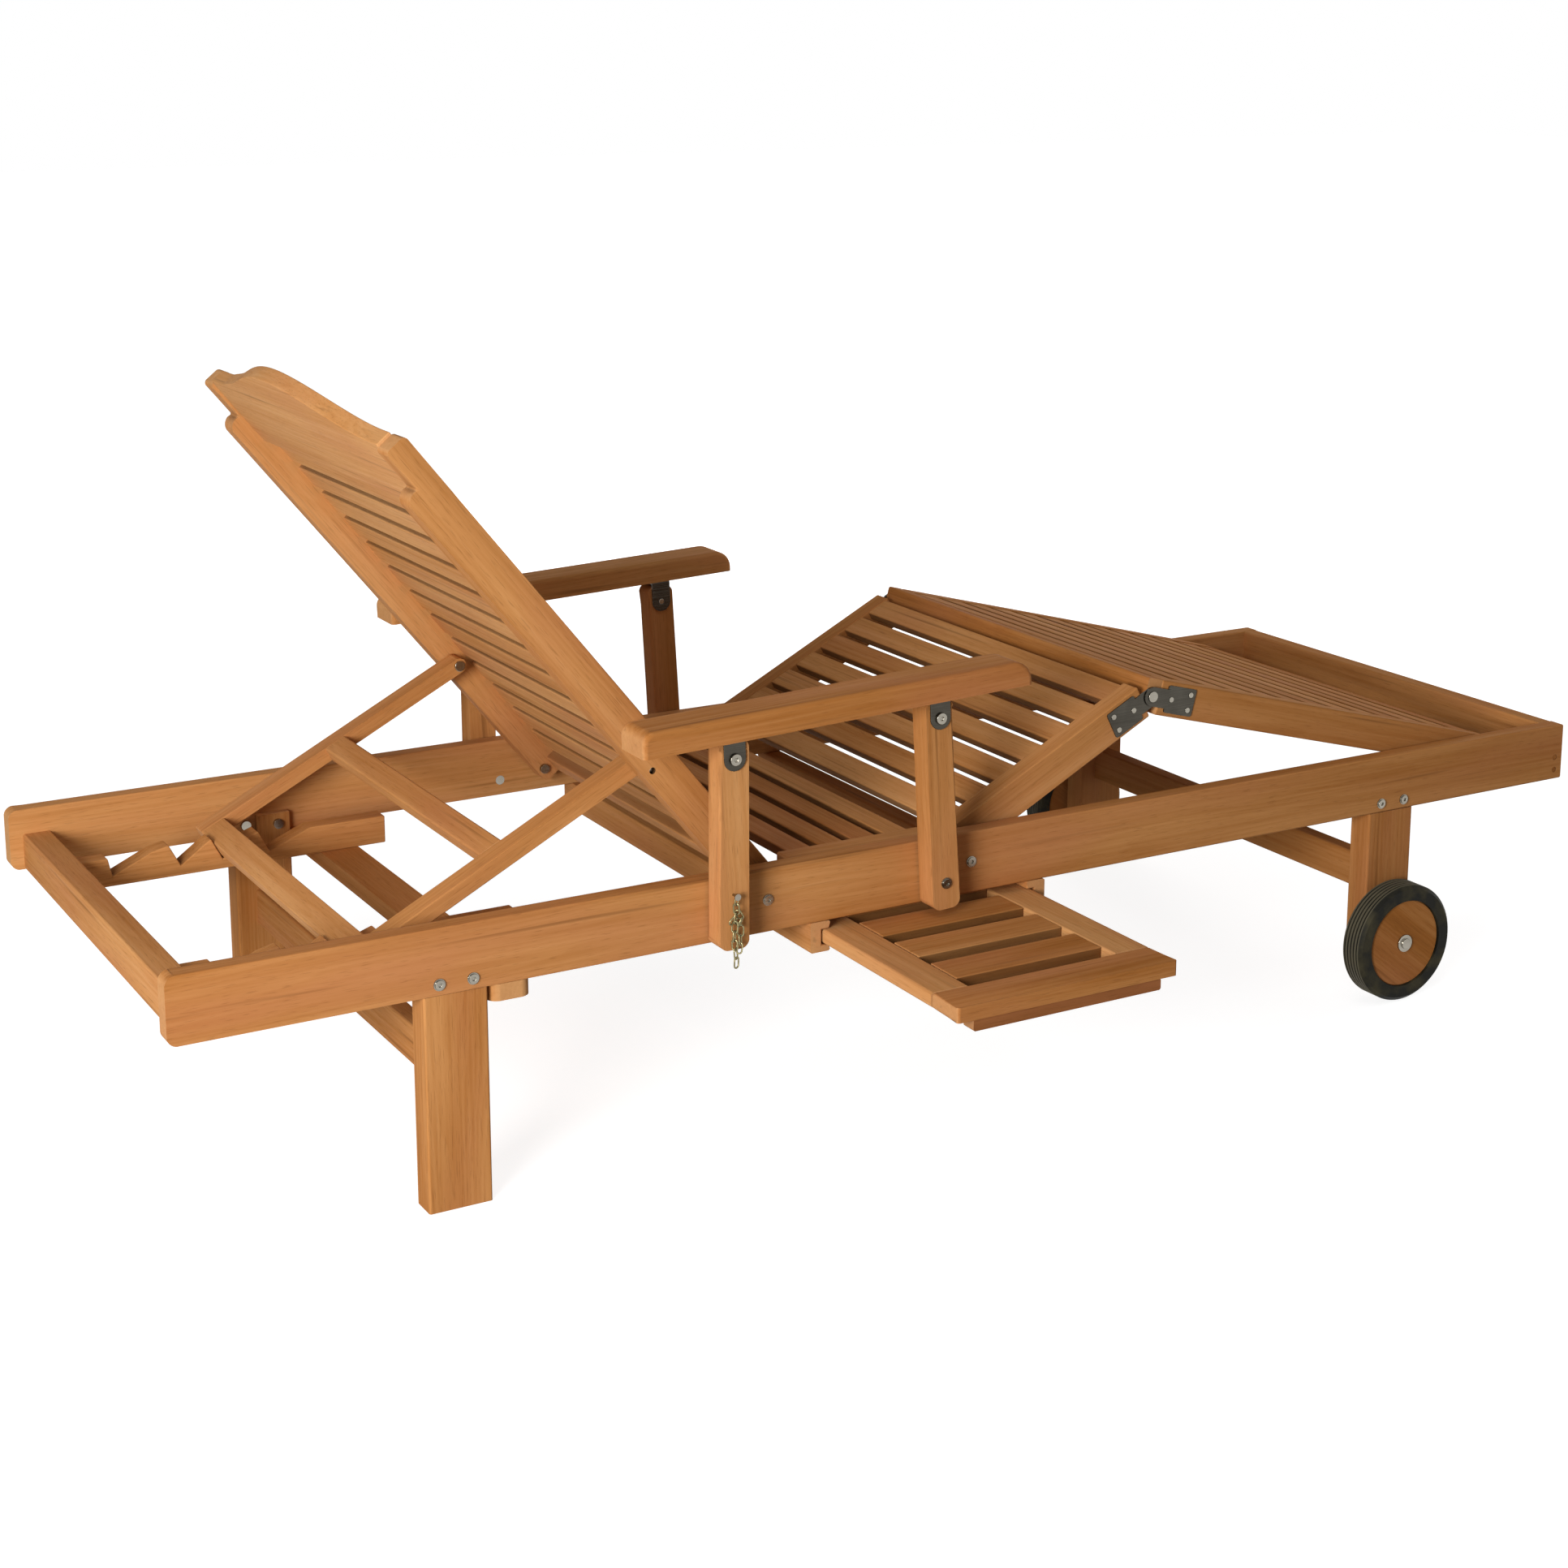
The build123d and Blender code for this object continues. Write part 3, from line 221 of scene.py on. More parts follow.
@dataclass(frozen=True)
class OiledTeak:
    """Planed and oiled teak: straight golden-brown grain, darker growth lines, fine pores, a dull sheen.

    Growth lines are circles round a pith line that lies at a different place for each board, so that one
    rule gives straight grain, cathedral arches and end-grain arcs. Pores are drawn about twice as coarse
    as the real ones, which would not show. The seed gives each board its tone and its place in the log,
    deepen darkens all boards of a finish, and a share of painted shade darkens their narrow sides. Slots
    between a piece's own faces get painted shade as well.
    """

    name: str
    grain: Grain
    seed: float
    deepen: float = 0.0
    edge_shade: float = 0.0
    boards: Boards = Boards()
    pose: Pose = Pose()

    tones: tuple[str, ...] = ("#D39F69", "#BE854F", "#A06530", "#74441B")
    rosy: str = "#B4744C"
    stain: str = "#5B3517"
    cut_end: str = "#CFA272"
    # Colour of the painted shade in slots and on the boards' narrow sides.
    shade_colour: str = "#2E1B0B"

    fibre: Marks = Marks(240 * MM, 4.0 * MM, 3.0)
    band: Marks = Marks(700 * MM, 45 * MM, 2.0)
    streak: Marks = Marks(420 * MM, 9 * MM, 2.0)
    pore: Marks = Marks(22 * MM, 1.0 * MM, 1.0)
    blush: Marks = Marks(320 * MM, 80 * MM, 2.0)

    log_spread: Triple = (4.0, 0.16, 0.10)
    log_start: Triple = (-2.0, -0.08, 0.03)
    ring_gap: float = 9.0 * MM
    ring_wander: float = 0.09
    ring_rise: Ramp = (0.15, 0.88, 0.0, 1.0)
    ring_fall: Ramp = (0.88, 1.0, 1.0, 0.0)

    ground: float = -0.18
    ring_weight: float = 0.055
    fibre_weight: float = 0.29
    band_weight: float = 0.68
    tone_weight: float = 0.26

    pore_share: Ramp = (0.60, 0.72, 0.0, 0.28)
    pore_depth: float = 2.0
    stain_share: Ramp = (0.62, 0.78, 0.0, 0.50)
    blush_share: Ramp = (0.45, 0.75, 0.0, 0.55)
    end_share: float = 0.35
    # Painted shade in slots between a piece's own faces: how far the faces reach, and the share at the
    # bottom.
    slot_shade_reach: float = 40 * MM
    slot_shade_share: float = 0.95

    rough: Span = (0.60, 0.76)
    bump: float = 0.22
    bump_height: float = 0.5 * MM
    sheen: float = 0.05

    def facing(self, tree: bpy.types.NodeTree, coords: bpy.types.Node, place: int) -> bpy.types.Node:
        """Add a measure of how squarely a face looks along one of the board's axes.

        Args:
            tree: Node tree of the material.
            coords: Texture Coordinate node.
            place: Place of the axis in the board's own order.

        Returns:
            Node of the measure, one on a face square to the axis.
        """
        angle = radians(self.pose.turn)
        axes = {
            "X": (cos(angle), 0.0, -sin(angle)),
            "Y": (0.0, 1.0, 0.0),
            "Z": (sin(angle), 0.0, cos(angle)),
        }
        axis = axes[self.grain.value[place]]
        along = add_node(tree, "ShaderNodeVectorMath", (coords.outputs["Normal"], axis),
                         operation="DOT_PRODUCT")
        return add_node(tree, "ShaderNodeMath", (along.outputs["Value"],), operation="ABSOLUTE")

    def board_point(self, tree: bpy.types.NodeTree, coords: bpy.types.Node) -> tuple[bpy.types.Node, Any]:
        """Place a point in the log that its board was cut from.

        Args:
            tree: Node tree of the material.
            coords: Texture Coordinate node.

        Returns:
            Node of the point as (run, width, depth), and socket of the board's random tone.
        """
        local = add_node(tree, "ShaderNodeMapping", {
            "Vector": coords.outputs["Object"],
            "Location": self.pose.origin,
            "Rotation": (0, radians(self.pose.turn), 0),
        }, vector_type="TEXTURE")
        axes = add_node(tree, "ShaderNodeSeparateXYZ", (local,)).outputs
        point = add_node(tree, "ShaderNodeCombineXYZ", tuple(axes[letter] for letter in self.grain.value))
        cells = add_node(tree, "ShaderNodeVectorMath", (point, self.boards.counts(), self.boards.offsets()),
                         operation="MULTIPLY_ADD")
        board = add_node(tree, "ShaderNodeVectorMath", (cells,), operation="FLOOR")
        chance = add_node(tree, "ShaderNodeTexWhiteNoise", {"Vector": board, "W": self.seed},
                          noise_dimensions="4D").outputs
        shift = add_node(tree, "ShaderNodeVectorMath", (chance["Color"], self.log_spread, self.log_start),
                         operation="MULTIPLY_ADD")
        moved = add_node(tree, "ShaderNodeVectorMath", (point, shift), operation="ADD")
        return moved, chance["Value"]

    def grain_noise(self, tree: bpy.types.NodeTree, point: bpy.types.Node, marks: Marks) -> bpy.types.Node:
        """Add noise that is drawn out along the grain.

        Args:
            tree: Node tree of the material.
            point: Node of the point as (run, width, depth).
            marks: Size of the noise.

        Returns:
            Node of the noise, from zero to one.
        """
        stretch = (1 / marks.length, 1 / marks.width, 1 / marks.width)
        scaled = add_node(tree, "ShaderNodeVectorMath", (point, stretch), operation="MULTIPLY")
        return add_node(tree, "ShaderNodeTexNoise", {"Vector": scaled, "Scale": 1.0, "Detail": marks.detail})

    def growth(self, tree: bpy.types.NodeTree, point: bpy.types.Node, bend: bpy.types.Node) -> bpy.types.Node:
        """Add growth lines that darken slowly and end sharply.

        Args:
            tree: Node tree of the material.
            point: Node of the point as (run, width, depth).
            bend: Node of a slow noise that makes the lines wander.

        Returns:
            Node of the line's darkness, from zero to one.
        """
        section = add_node(tree, "ShaderNodeVectorMath", (point, (0, 1, 1)), operation="MULTIPLY")
        radius = add_node(tree, "ShaderNodeVectorMath", (section,), operation="LENGTH").outputs["Value"]
        wander = add_node(tree, "ShaderNodeMath", (bend, self.ring_wander, radius), operation="MULTIPLY_ADD")
        rings = add_node(tree, "ShaderNodeMath", (wander, self.ring_gap), operation="DIVIDE")
        phase = add_node(tree, "ShaderNodeMath", (rings,), operation="FRACT")
        rise, fall = [
            add_node(tree, "ShaderNodeMapRange", (phase, *ramp), interpolation_type="SMOOTHSTEP")
            for ramp in (self.ring_rise, self.ring_fall)
        ]
        return add_node(tree, "ShaderNodeMath", (rise, fall), operation="MULTIPLY")

    def bare_wood(self, tree: bpy.types.NodeTree, shade: bpy.types.Node) -> bpy.types.Node:
        """Add the wood's own colour, from the palest tone to the darkest.

        Args:
            tree: Node tree of the material.
            shade: Node of the darkness, from zero to one.

        Returns:
            Node of the colour.
        """
        node = add_node(tree, "ShaderNodeValToRGB", (shade,))
        stops = node.color_ramp.elements
        while len(stops) < len(self.tones):
            stops.new(0.5)
        for place, (stop, code) in enumerate(zip(stops, self.tones)):
            stop.position = place / (len(self.tones) - 1)
            stop.color = linear(code)
        return node

    def make(self) -> bpy.types.Material:
        """Build the material.

        Returns:
            The finished material.
        """
        material, tree = blank_material(self.name)
        coords = add_node(tree, "ShaderNodeTexCoord")
        point, tone = self.board_point(tree, coords)
        layers = (self.band, self.fibre, self.streak, self.pore, self.blush)
        band, fibre, streak, pore, blush = [self.grain_noise(tree, point, marks) for marks in layers]

        shade: Any = self.deepen + self.ground
        ring = self.growth(tree, point, band)
        weights = ((ring, self.ring_weight), (fibre, self.fibre_weight), (band, self.band_weight),
                   (tone, self.tone_weight))
        for source, weight in weights:
            shade = add_node(tree, "ShaderNodeMath", (source, weight, shade), operation="MULTIPLY_ADD")

        heart = add_node(tree, "ShaderNodeMapRange", (blush, *self.blush_share))
        pits = add_node(tree, "ShaderNodeMapRange", (pore, *self.pore_share))
        stains = add_node(tree, "ShaderNodeMapRange", (streak, *self.stain_share),
                          interpolation_type="SMOOTHSTEP")
        ends, shade_on_sides = [
            add_node(tree, "ShaderNodeMapRange", (self.facing(tree, coords, place), *SQUARE_SPAN, 0.0, most))
            for place, most in ((RUN, self.end_share), (WIDTH, self.edge_shade))
        ]
        # Painted shade in slots, and on the narrow sides that face them.
        shade_in_slots = painted_recess_shade(tree, self.slot_shade_reach, self.slot_shade_share)
        dark = add_node(tree, "ShaderNodeMath", (pits, stains), operation="MAXIMUM")
        painted_shade = add_node(tree, "ShaderNodeMath", (shade_in_slots, shade_on_sides), operation="MAXIMUM")
        colour: Any = self.bare_wood(tree, shade)
        coats = ((heart, self.rosy), (dark, self.stain), (ends, self.cut_end), (painted_shade, self.shade_colour))
        for share, code in coats:
            mixed = add_node(tree, "ShaderNodeMix", {0: share, UNDER: colour, OVER: linear(code)},
                             data_type="RGBA")
            colour = mixed.outputs[MIXED]

        rough = add_node(tree, "ShaderNodeMapRange", (fibre, *NOISE_SPAN, *self.rough))
        height = add_node(tree, "ShaderNodeMath", (pits, -self.pore_depth, fibre), operation="MULTIPLY_ADD")
        bump = add_node(tree, "ShaderNodeBump", {
            "Strength": self.bump, "Distance": self.bump_height, "Height": height,
        })
        surface = add_node(tree, "ShaderNodeBsdfPrincipled", {
            "Base Color": colour, "Roughness": rough, "Normal": bump, "Specular IOR Level": self.sheen,
        })
        add_node(tree, "ShaderNodeOutputMaterial", (surface,))
        return material


@dataclass(frozen=True)
class Metal:
    """Sheet or turned metal with fine rolling marks: tone and gloss change softly from mark to mark.

    The marks are drawn coarser than real ones, which would not show.
    """

    name: str
    pale: str
    deep: str
    rough: Span
    mark: Triple = (60 * MM, 60 * MM, 0.8 * MM)
    mark_detail: float = 3.0
    cloud: float = 30 * MM
    cloud_detail: float = 2.0
    tone_span: Span = (0.0, 0.50)
    # Painted shade where the metal meets other parts, such as round a bolt head on the wood: colour, reach
    # and share.
    rim_shade_colour: str = "#1E1A14"
    rim_shade_reach: float = 2 * MM
    rim_shade_share: float = 0.55

    def make(self) -> bpy.types.Material:
        """Build the material.

        Returns:
            The finished material.
        """
        material, tree = blank_material(self.name)
        place = add_node(tree, "ShaderNodeTexCoord").outputs["Object"]
        stretch = tuple(1 / size for size in self.mark)
        scaled = add_node(tree, "ShaderNodeVectorMath", (place, stretch), operation="MULTIPLY")
        marks = add_node(tree, "ShaderNodeTexNoise", {
            "Vector": scaled, "Scale": 1.0, "Detail": self.mark_detail,
        })
        cloud = add_node(tree, "ShaderNodeTexNoise", {
            "Vector": place, "Scale": 1 / self.cloud, "Detail": self.cloud_detail,
        })
        blend = add_node(tree, "ShaderNodeMath", (marks, cloud), operation="MULTIPLY")
        bright = add_node(tree, "ShaderNodeMapRange", (blend, *self.tone_span, 0.0, 1.0))
        # Painted shade near other parts, such as round a bolt head on the wood.
        shade_at_rims = painted_recess_shade(tree, self.rim_shade_reach, self.rim_shade_share, own=False)
        colour: Any = linear(self.deep)
        for share, code in ((bright, self.pale), (shade_at_rims, self.rim_shade_colour)):
            mixed = add_node(tree, "ShaderNodeMix", {0: share, UNDER: colour, OVER: linear(code)},
                             data_type="RGBA")
            colour = mixed.outputs[MIXED]
        rough = add_node(tree, "ShaderNodeMapRange", (marks, *NOISE_SPAN, *self.rough))
        surface = add_node(tree, "ShaderNodeBsdfPrincipled", {
            "Base Color": colour, "Roughness": rough, "Metallic": 1.0,
        })
        add_node(tree, "ShaderNodeOutputMaterial", (surface,))
        return material


@dataclass(frozen=True)
class MouldedRubber:
    """Moulded black rubber: almost matt, with a grey bloom and a fine pebbled skin.

    The grooves get painted shade, and the ribs' crests are painted pale as highlight and wear. The pebbles
    are drawn coarser than real ones, which would not show.
    """

    name: str = "moulded_black_rubber"
    fresh: str = "#14130D"
    bloom: str = "#423D2C"
    bloom_span: Span = (0.42, 0.72)
    cloud: float = 26 * MM
    cloud_detail: float = 4.0

    # Painted shade in the grooves between the ribs: its colour, reach and share.
    groove_shade_colour: str = "#060604"
    groove_shade_reach: float = 5 * MM
    groove_shade_share: float = 0.95

    # Painted highlight with wear on the ribs' crests: colour, share, and depths below the tread where it
    # starts and is full.
    highlight_and_wear_colour: str = "#615B4A"
    highlight_and_wear_share: float = 0.75
    highlight_and_wear_depths: Span = (0.9 * MM, 0.2 * MM)
    axle: Triple = (679 * MM, 0.0, 81 * MM)
    tread_radius: float = 81 * MM

    rough: Span = (0.48, 0.68)
    pebble: float = 1.5 * MM
    pebble_detail: float = 2.0
    bump: float = 0.2
    bump_height: float = 0.3 * MM
    sheen: float = 0.12

    def crests(self, tree: bpy.types.NodeTree, place: Any) -> bpy.types.Node:
        """Add the share of pale rubber on the ribs' crests alone, which paints a highlight together with
        wear.

        Args:
            tree: Node tree of the material.
            place: Socket of the point.

        Returns:
            Node of the share.
        """
        spoke = add_node(tree, "ShaderNodeVectorMath", (place, self.axle), operation="SUBTRACT")
        flat = add_node(tree, "ShaderNodeVectorMath", (spoke, (1, 0, 1)), operation="MULTIPLY")
        radius = add_node(tree, "ShaderNodeVectorMath", (flat,), operation="LENGTH").outputs["Value"]
        span = [self.tread_radius - depth for depth in self.highlight_and_wear_depths]
        return add_node(tree, "ShaderNodeMapRange", (radius, *span, 0.0, self.highlight_and_wear_share))

    def make(self) -> bpy.types.Material:
        """Build the material.

        Returns:
            The finished material.
        """
        material, tree = blank_material(self.name)
        place = add_node(tree, "ShaderNodeTexCoord").outputs["Object"]
        cloud, skin = [
            add_node(tree, "ShaderNodeTexNoise", {"Vector": place, "Scale": 1 / size, "Detail": detail})
            for size, detail in ((self.cloud, self.cloud_detail), (self.pebble, self.pebble_detail))
        ]
        dusty = add_node(tree, "ShaderNodeMapRange", (cloud, *self.bloom_span, 0.0, 1.0))
        # Painted shade in the grooves, and a painted highlight with wear on the ribs' crests.
        shade_in_grooves = painted_recess_shade(tree, self.groove_shade_reach, self.groove_shade_share)
        colour: Any = linear(self.fresh)
        coats = ((dusty, self.bloom), (shade_in_grooves, self.groove_shade_colour), (self.crests(tree, place), self.highlight_and_wear_colour))
        for share, code in coats:
            mixed = add_node(tree, "ShaderNodeMix", {0: share, UNDER: colour, OVER: linear(code)},
                             data_type="RGBA")
            colour = mixed.outputs[MIXED]
        rough = add_node(tree, "ShaderNodeMapRange", (cloud, *NOISE_SPAN, *self.rough))
        bump = add_node(tree, "ShaderNodeBump", {
            "Strength": self.bump, "Distance": self.bump_height, "Height": skin,
        })
        surface = add_node(tree, "ShaderNodeBsdfPrincipled", {
            "Base Color": colour, "Roughness": rough, "Normal": bump, "Specular IOR Level": self.sheen,
        })
        add_node(tree, "ShaderNodeOutputMaterial", (surface,))
        return material


Finish = OiledTeak | Metal | MouldedRubber

STAINLESS = Metal("polished_stainless_steel", "#A8A397", "#857F74", (0.14, 0.26))
ROLLED_STEEL = Metal("rolled_stainless_sheet", "#57534B", "#393630", (0.20, 0.36))
YELLOW_ZINC = Metal("yellow_zinc_plate", "#A89E76", "#5E573A", (0.24, 0.42))
RUBBER = MouldedRubber()


def sharp_edge_group(name: str, sharpest: float) -> tuple[bpy.types.NodeTree, bpy.types.Node, bpy.types.Node]:
    """Start a geometry node group that works on the sharp edges of a merged solid.

    Args:
        name: Name of the group.
        sharpest: Angle in degrees above which an edge counts as sharp.

    Returns:
        The group, the node of the solid, and the node that is true on sharp edges.
    """
    tree = bpy.data.node_groups.new(name, "GeometryNodeTree")
    for way in ("INPUT", "OUTPUT"):
        tree.interface.new_socket("Geometry", in_out=way, socket_type="NodeSocketGeometry")
    solid = add_node(tree, "NodeGroupInput")
    angle = add_node(tree, "GeometryNodeInputMeshEdgeAngle")
    sharp = add_node(tree, "FunctionNodeCompare", (angle, radians(sharpest)), operation="GREATER_THAN")
    return tree, solid, sharp


def shading_group() -> bpy.types.NodeTree:
    """Make the group that shades a solid smooth and keeps its sharp edges.

    Returns:
        The geometry node group.
    """
    tree, solid, sharp = sharp_edge_group("smooth_by_angle", SHADE_ANGLE)
    soft = add_node(tree, "GeometryNodeSetShadeSmooth", {"Geometry": solid, "Shade Smooth": True})
    kept = add_node(tree, "GeometryNodeSetShadeSmooth", {
        "Geometry": soft, "Selection": sharp, "Shade Smooth": False,
    }, domain="EDGE")
    add_node(tree, "NodeGroupOutput", (kept,))
    return tree


def bevel_group() -> bpy.types.NodeTree:
    """Make the group that marks the sharp edges to be eased and leaves the short ones round bolt holes.

    Returns:
        The geometry node group.
    """
    tree, solid, sharp = sharp_edge_group("mark_long_sharp_edges", SHARP_ANGLE)
    ends = add_node(tree, "GeometryNodeInputMeshEdgeVertices").outputs
    length = add_node(tree, "ShaderNodeVectorMath", (ends["Position 1"], ends["Position 2"]),
                      operation="DISTANCE").outputs["Value"]
    long = add_node(tree, "FunctionNodeCompare", (length, SHORTEST_EDGE), operation="GREATER_THAN")
    both = add_node(tree, "FunctionNodeBooleanMath", (sharp, long), operation="AND")
    marked = add_node(tree, "GeometryNodeStoreNamedAttribute", {
        "Geometry": solid, "Name": "bevel_weight_edge", "Value": both,
    }, data_type="FLOAT", domain="EDGE")
    add_node(tree, "NodeGroupOutput", (marked,))
    return tree


SHADING = shading_group()
LONG_EDGES = bevel_group()


def ease_edges(node: bpy.types.Object, ease: Ease) -> None:
    """Round a solid's sharp edges and shade it smooth, by modifiers alone.

    Args:
        node: Object of a CAD node.
        ease: Radius of the edges.
    """
    weld = node.modifiers.new("merge_corners", "WELD")
    weld.merge_threshold = MERGE_GAP
    if ease is not Ease.CURVE:
        plane = node.modifiers.new("join_flat_faces", "DECIMATE")
        plane.decimate_type = "DISSOLVE"
        plane.angle_limit = radians(FLAT_ANGLE)
    if not ease.narrow:
        mark = node.modifiers.new("mark_long_sharp_edges", "NODES")
        mark.node_group = LONG_EDGES
    bevel = node.modifiers.new("eased_edges", "BEVEL")
    bevel.width = ease.value
    bevel.segments = BEVEL_STEPS
    bevel.limit_method = "ANGLE" if ease.narrow else "WEIGHT"
    bevel.angle_limit = radians(SHARP_ANGLE)
    bevel.use_clamp_overlap = ease in (Ease.STEEL, Ease.RUBBER)
    bevel.loop_slide = not ease.narrow
    smooth = node.modifiers.new("smooth_by_angle", "NODES")
    smooth.node_group = SHADING
    weighted = node.modifiers.new("flat_faces_stay_flat", "WEIGHTED_NORMAL")
    weighted.keep_sharp = True


@dataclass(frozen=True)
class Coat:
    """Finish and edge of a group of pieces."""

    finish: Finish
    ease: Ease
    names: tuple[str, ...]


@dataclass
class SubAssembly:
    """Nodes that one part of the lounger is made of, and what dresses them."""

    title: str = "sub-assembly"

    def coats(self) -> list[Coat]:
        """Finish and edge of each group of pieces."""
        return []

    def dress(self) -> None:
        """Give every node its finish and its eased edges."""
        for coat in self.coats():
            material = bpy.data.materials.get(coat.finish.name) or coat.finish.make()
            for name in coat.names:
                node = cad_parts[name]
                node.data.materials.clear()
                node.data.materials.append(material)
                ease_edges(node, coat.ease)
                log.info("%s: %s in %s", self.title, name, coat.finish.name)


@dataclass
class BaseFrame(SubAssembly):
    """Rails, crossbars, legs, notched rails, fixed seat and tray guides."""

    title: str = "base frame"
    first_slat: float = -226.0 * MM
    sides: Boards = Boards(SIDE, MIDDLE_Y)
    corners: Boards = Boards(SIDE, 0.0, SIDE, MIDDLE_Y)
    crossings: Boards = Boards(0.25, -1.1)

    def coats(self) -> list[Coat]:
        """List the pieces with their finish and edge.

        Returns:
            One coat for each group of pieces.
        """
        slat_boards = Boards(SLAT_PITCH, self.first_slat - SLAT_LEAD)
        rails = OiledTeak("oiled_teak_rails", Grain.ALONG, 1.3, boards=self.sides)
        crossbars = OiledTeak("oiled_teak_crossbars", Grain.ACROSS, 2.1, boards=self.crossings)
        legs = OiledTeak("oiled_teak_legs", Grain.UPRIGHT, 3.7, boards=self.corners)
        notched = OiledTeak("oiled_teak_notched_rails", Grain.ALONG, 4.4, boards=self.sides)
        seat_bars = OiledTeak("oiled_teak_seat_bars", Grain.ALONG, 5.2, boards=self.sides)
        # Painted shade: the seat slats are deepened for the shade of the armrests and backrest above them.
        seat_slats = OiledTeak("oiled_teak_seat_slats", Grain.ACROSS, 6.8, deepen=0.08, edge_shade=0.6,
                               boards=slat_boards)
        plugs = OiledTeak("oiled_teak_plugs", Grain.ALONG, 7.1, deepen=0.25)
        return [
            Coat(rails, Ease.BOARD, ("side_rail_near", "side_rail_far")),
            Coat(crossbars, Ease.BOARD, ("head_crossbar", "foot_crossbar", "leg_stretchers", "cross_board",
                                         "tray_guide_head", "tray_guide_foot")),
            Coat(legs, Ease.BOARD, ("head_leg_near", "head_leg_far", "foot_leg_near", "foot_leg_far")),
            Coat(notched, Ease.SLAT, ("notched_rails", "foot_ledgers")),
            Coat(seat_bars, Ease.SLAT, ("seat_bars",)),
            Coat(seat_slats, Ease.SLAT, ("seat_slats",)),
            Coat(plugs, Ease.STEEL, ("crossbar_plugs",)),
            Coat(STAINLESS, Ease.STEEL, ("leg_bolts", "pivot_bolts", "arm_pivot_bolts", "axle_bolts")),
        ]


@dataclass
class Backrest(SubAssembly):
    """Reclining back with its crest board, slats and prop frame."""

    title: str = "backrest"
    back: Pose = Pose(-129.0, (-283 * MM, MIDDLE_Y, 295 * MM))
    prop: Pose = Pose(152.71, (-416.7 * MM, MIDDLE_Y, 463.3 * MM))
    crest_low: float = 614.5 * MM
    sides: Boards = Boards(SIDE, 0.0)
    crossings: Boards = Boards(0.3, 0.0)

    def coats(self) -> list[Coat]:
        """List the pieces with their finish and edge.

        Returns:
            One coat for each group of pieces.
        """
        slat_boards = Boards(SLAT_PITCH, self.crest_low - SLAT_LEAD)
        bars = OiledTeak("oiled_teak_back_bars", Grain.ALONG, 11.2, deepen=-0.1,
                         boards=self.sides, pose=self.back)
        crest = OiledTeak("oiled_teak_crest", Grain.ACROSS, 12.9, deepen=-0.16, pose=self.back)
        slats = OiledTeak("oiled_teak_back_slats", Grain.ACROSS, 13.5, deepen=-0.18, edge_shade=0.4,
                          boards=slat_boards, pose=self.back)
        arms = OiledTeak("oiled_teak_prop_arms", Grain.ALONG, 14.6, boards=self.sides, pose=self.prop)
        cross = OiledTeak("oiled_teak_prop_bars", Grain.ACROSS, 15.8, boards=self.crossings, pose=self.prop)
        return [
            Coat(bars, Ease.BOARD, ("back_bars",)),
            Coat(crest, Ease.CURVE, ("crest_board",)),
            Coat(slats, Ease.SLAT, ("back_slats", "back_low_board")),
            Coat(arms, Ease.BOARD, ("prop_arms",)),
            Coat(cross, Ease.SLAT, ("prop_mid_bar", "prop_end_bar")),
            Coat(STAINLESS, Ease.STEEL, ("prop_bolts",)),
        ]


@dataclass
class KneeSections(SubAssembly):
    """Thigh and foot sections with the hinges between them."""

    title: str = "knee sections"
    thigh: Pose = Pose(-27.0, (2 * MM, MIDDLE_Y, 295 * MM))
    foot: Pose = Pose(14.99, (294.6 * MM, MIDDLE_Y, 458.7 * MM))
    thigh_end: float = 322.0 * MM
    first_foot_slat: float = 24.2 * MM
    sides: Boards = Boards(SIDE, 0.0)

    def coats(self) -> list[Coat]:
        """List the pieces with their finish and edge.

        Returns:
            One coat for each group of pieces.
        """
        thigh_boards = Boards(SLAT_PITCH, self.thigh_end)
        foot_boards = Boards(SLAT_PITCH, self.first_foot_slat - SLAT_LEAD)
        thigh_bars = OiledTeak("oiled_teak_thigh_bars", Grain.ALONG, 21.4,
                               boards=self.sides, pose=self.thigh)
        thigh_slats = OiledTeak("oiled_teak_thigh_slats", Grain.ACROSS, 22.7, edge_shade=0.6,
                                boards=thigh_boards, pose=self.thigh)
        foot_bars = OiledTeak("oiled_teak_foot_bars", Grain.ALONG, 23.3, boards=self.sides, pose=self.foot)
        foot_slats = OiledTeak("oiled_teak_foot_slats", Grain.ACROSS, 24.9, deepen=0.06, edge_shade=0.65,
                               boards=foot_boards, pose=self.foot)
        knee_rail = OiledTeak("oiled_teak_knee_rail", Grain.ACROSS, 25.7, deepen=0.24, pose=self.foot)
        return [
            Coat(thigh_bars, Ease.BOARD, ("thigh_bars",)),
            Coat(thigh_slats, Ease.SLAT, ("thigh_slats",)),
            Coat(foot_bars, Ease.BOARD, ("foot_bars",)),
            Coat(foot_slats, Ease.SLAT, ("foot_slats",)),
            Coat(knee_rail, Ease.SLAT, ("knee_rail",)),
            Coat(ROLLED_STEEL, Ease.STEEL, ("thigh_leaves", "foot_leaves")),
            Coat(STAINLESS, Ease.STEEL, ("thigh_screws", "foot_screws", "knee_rivets")),
        ]


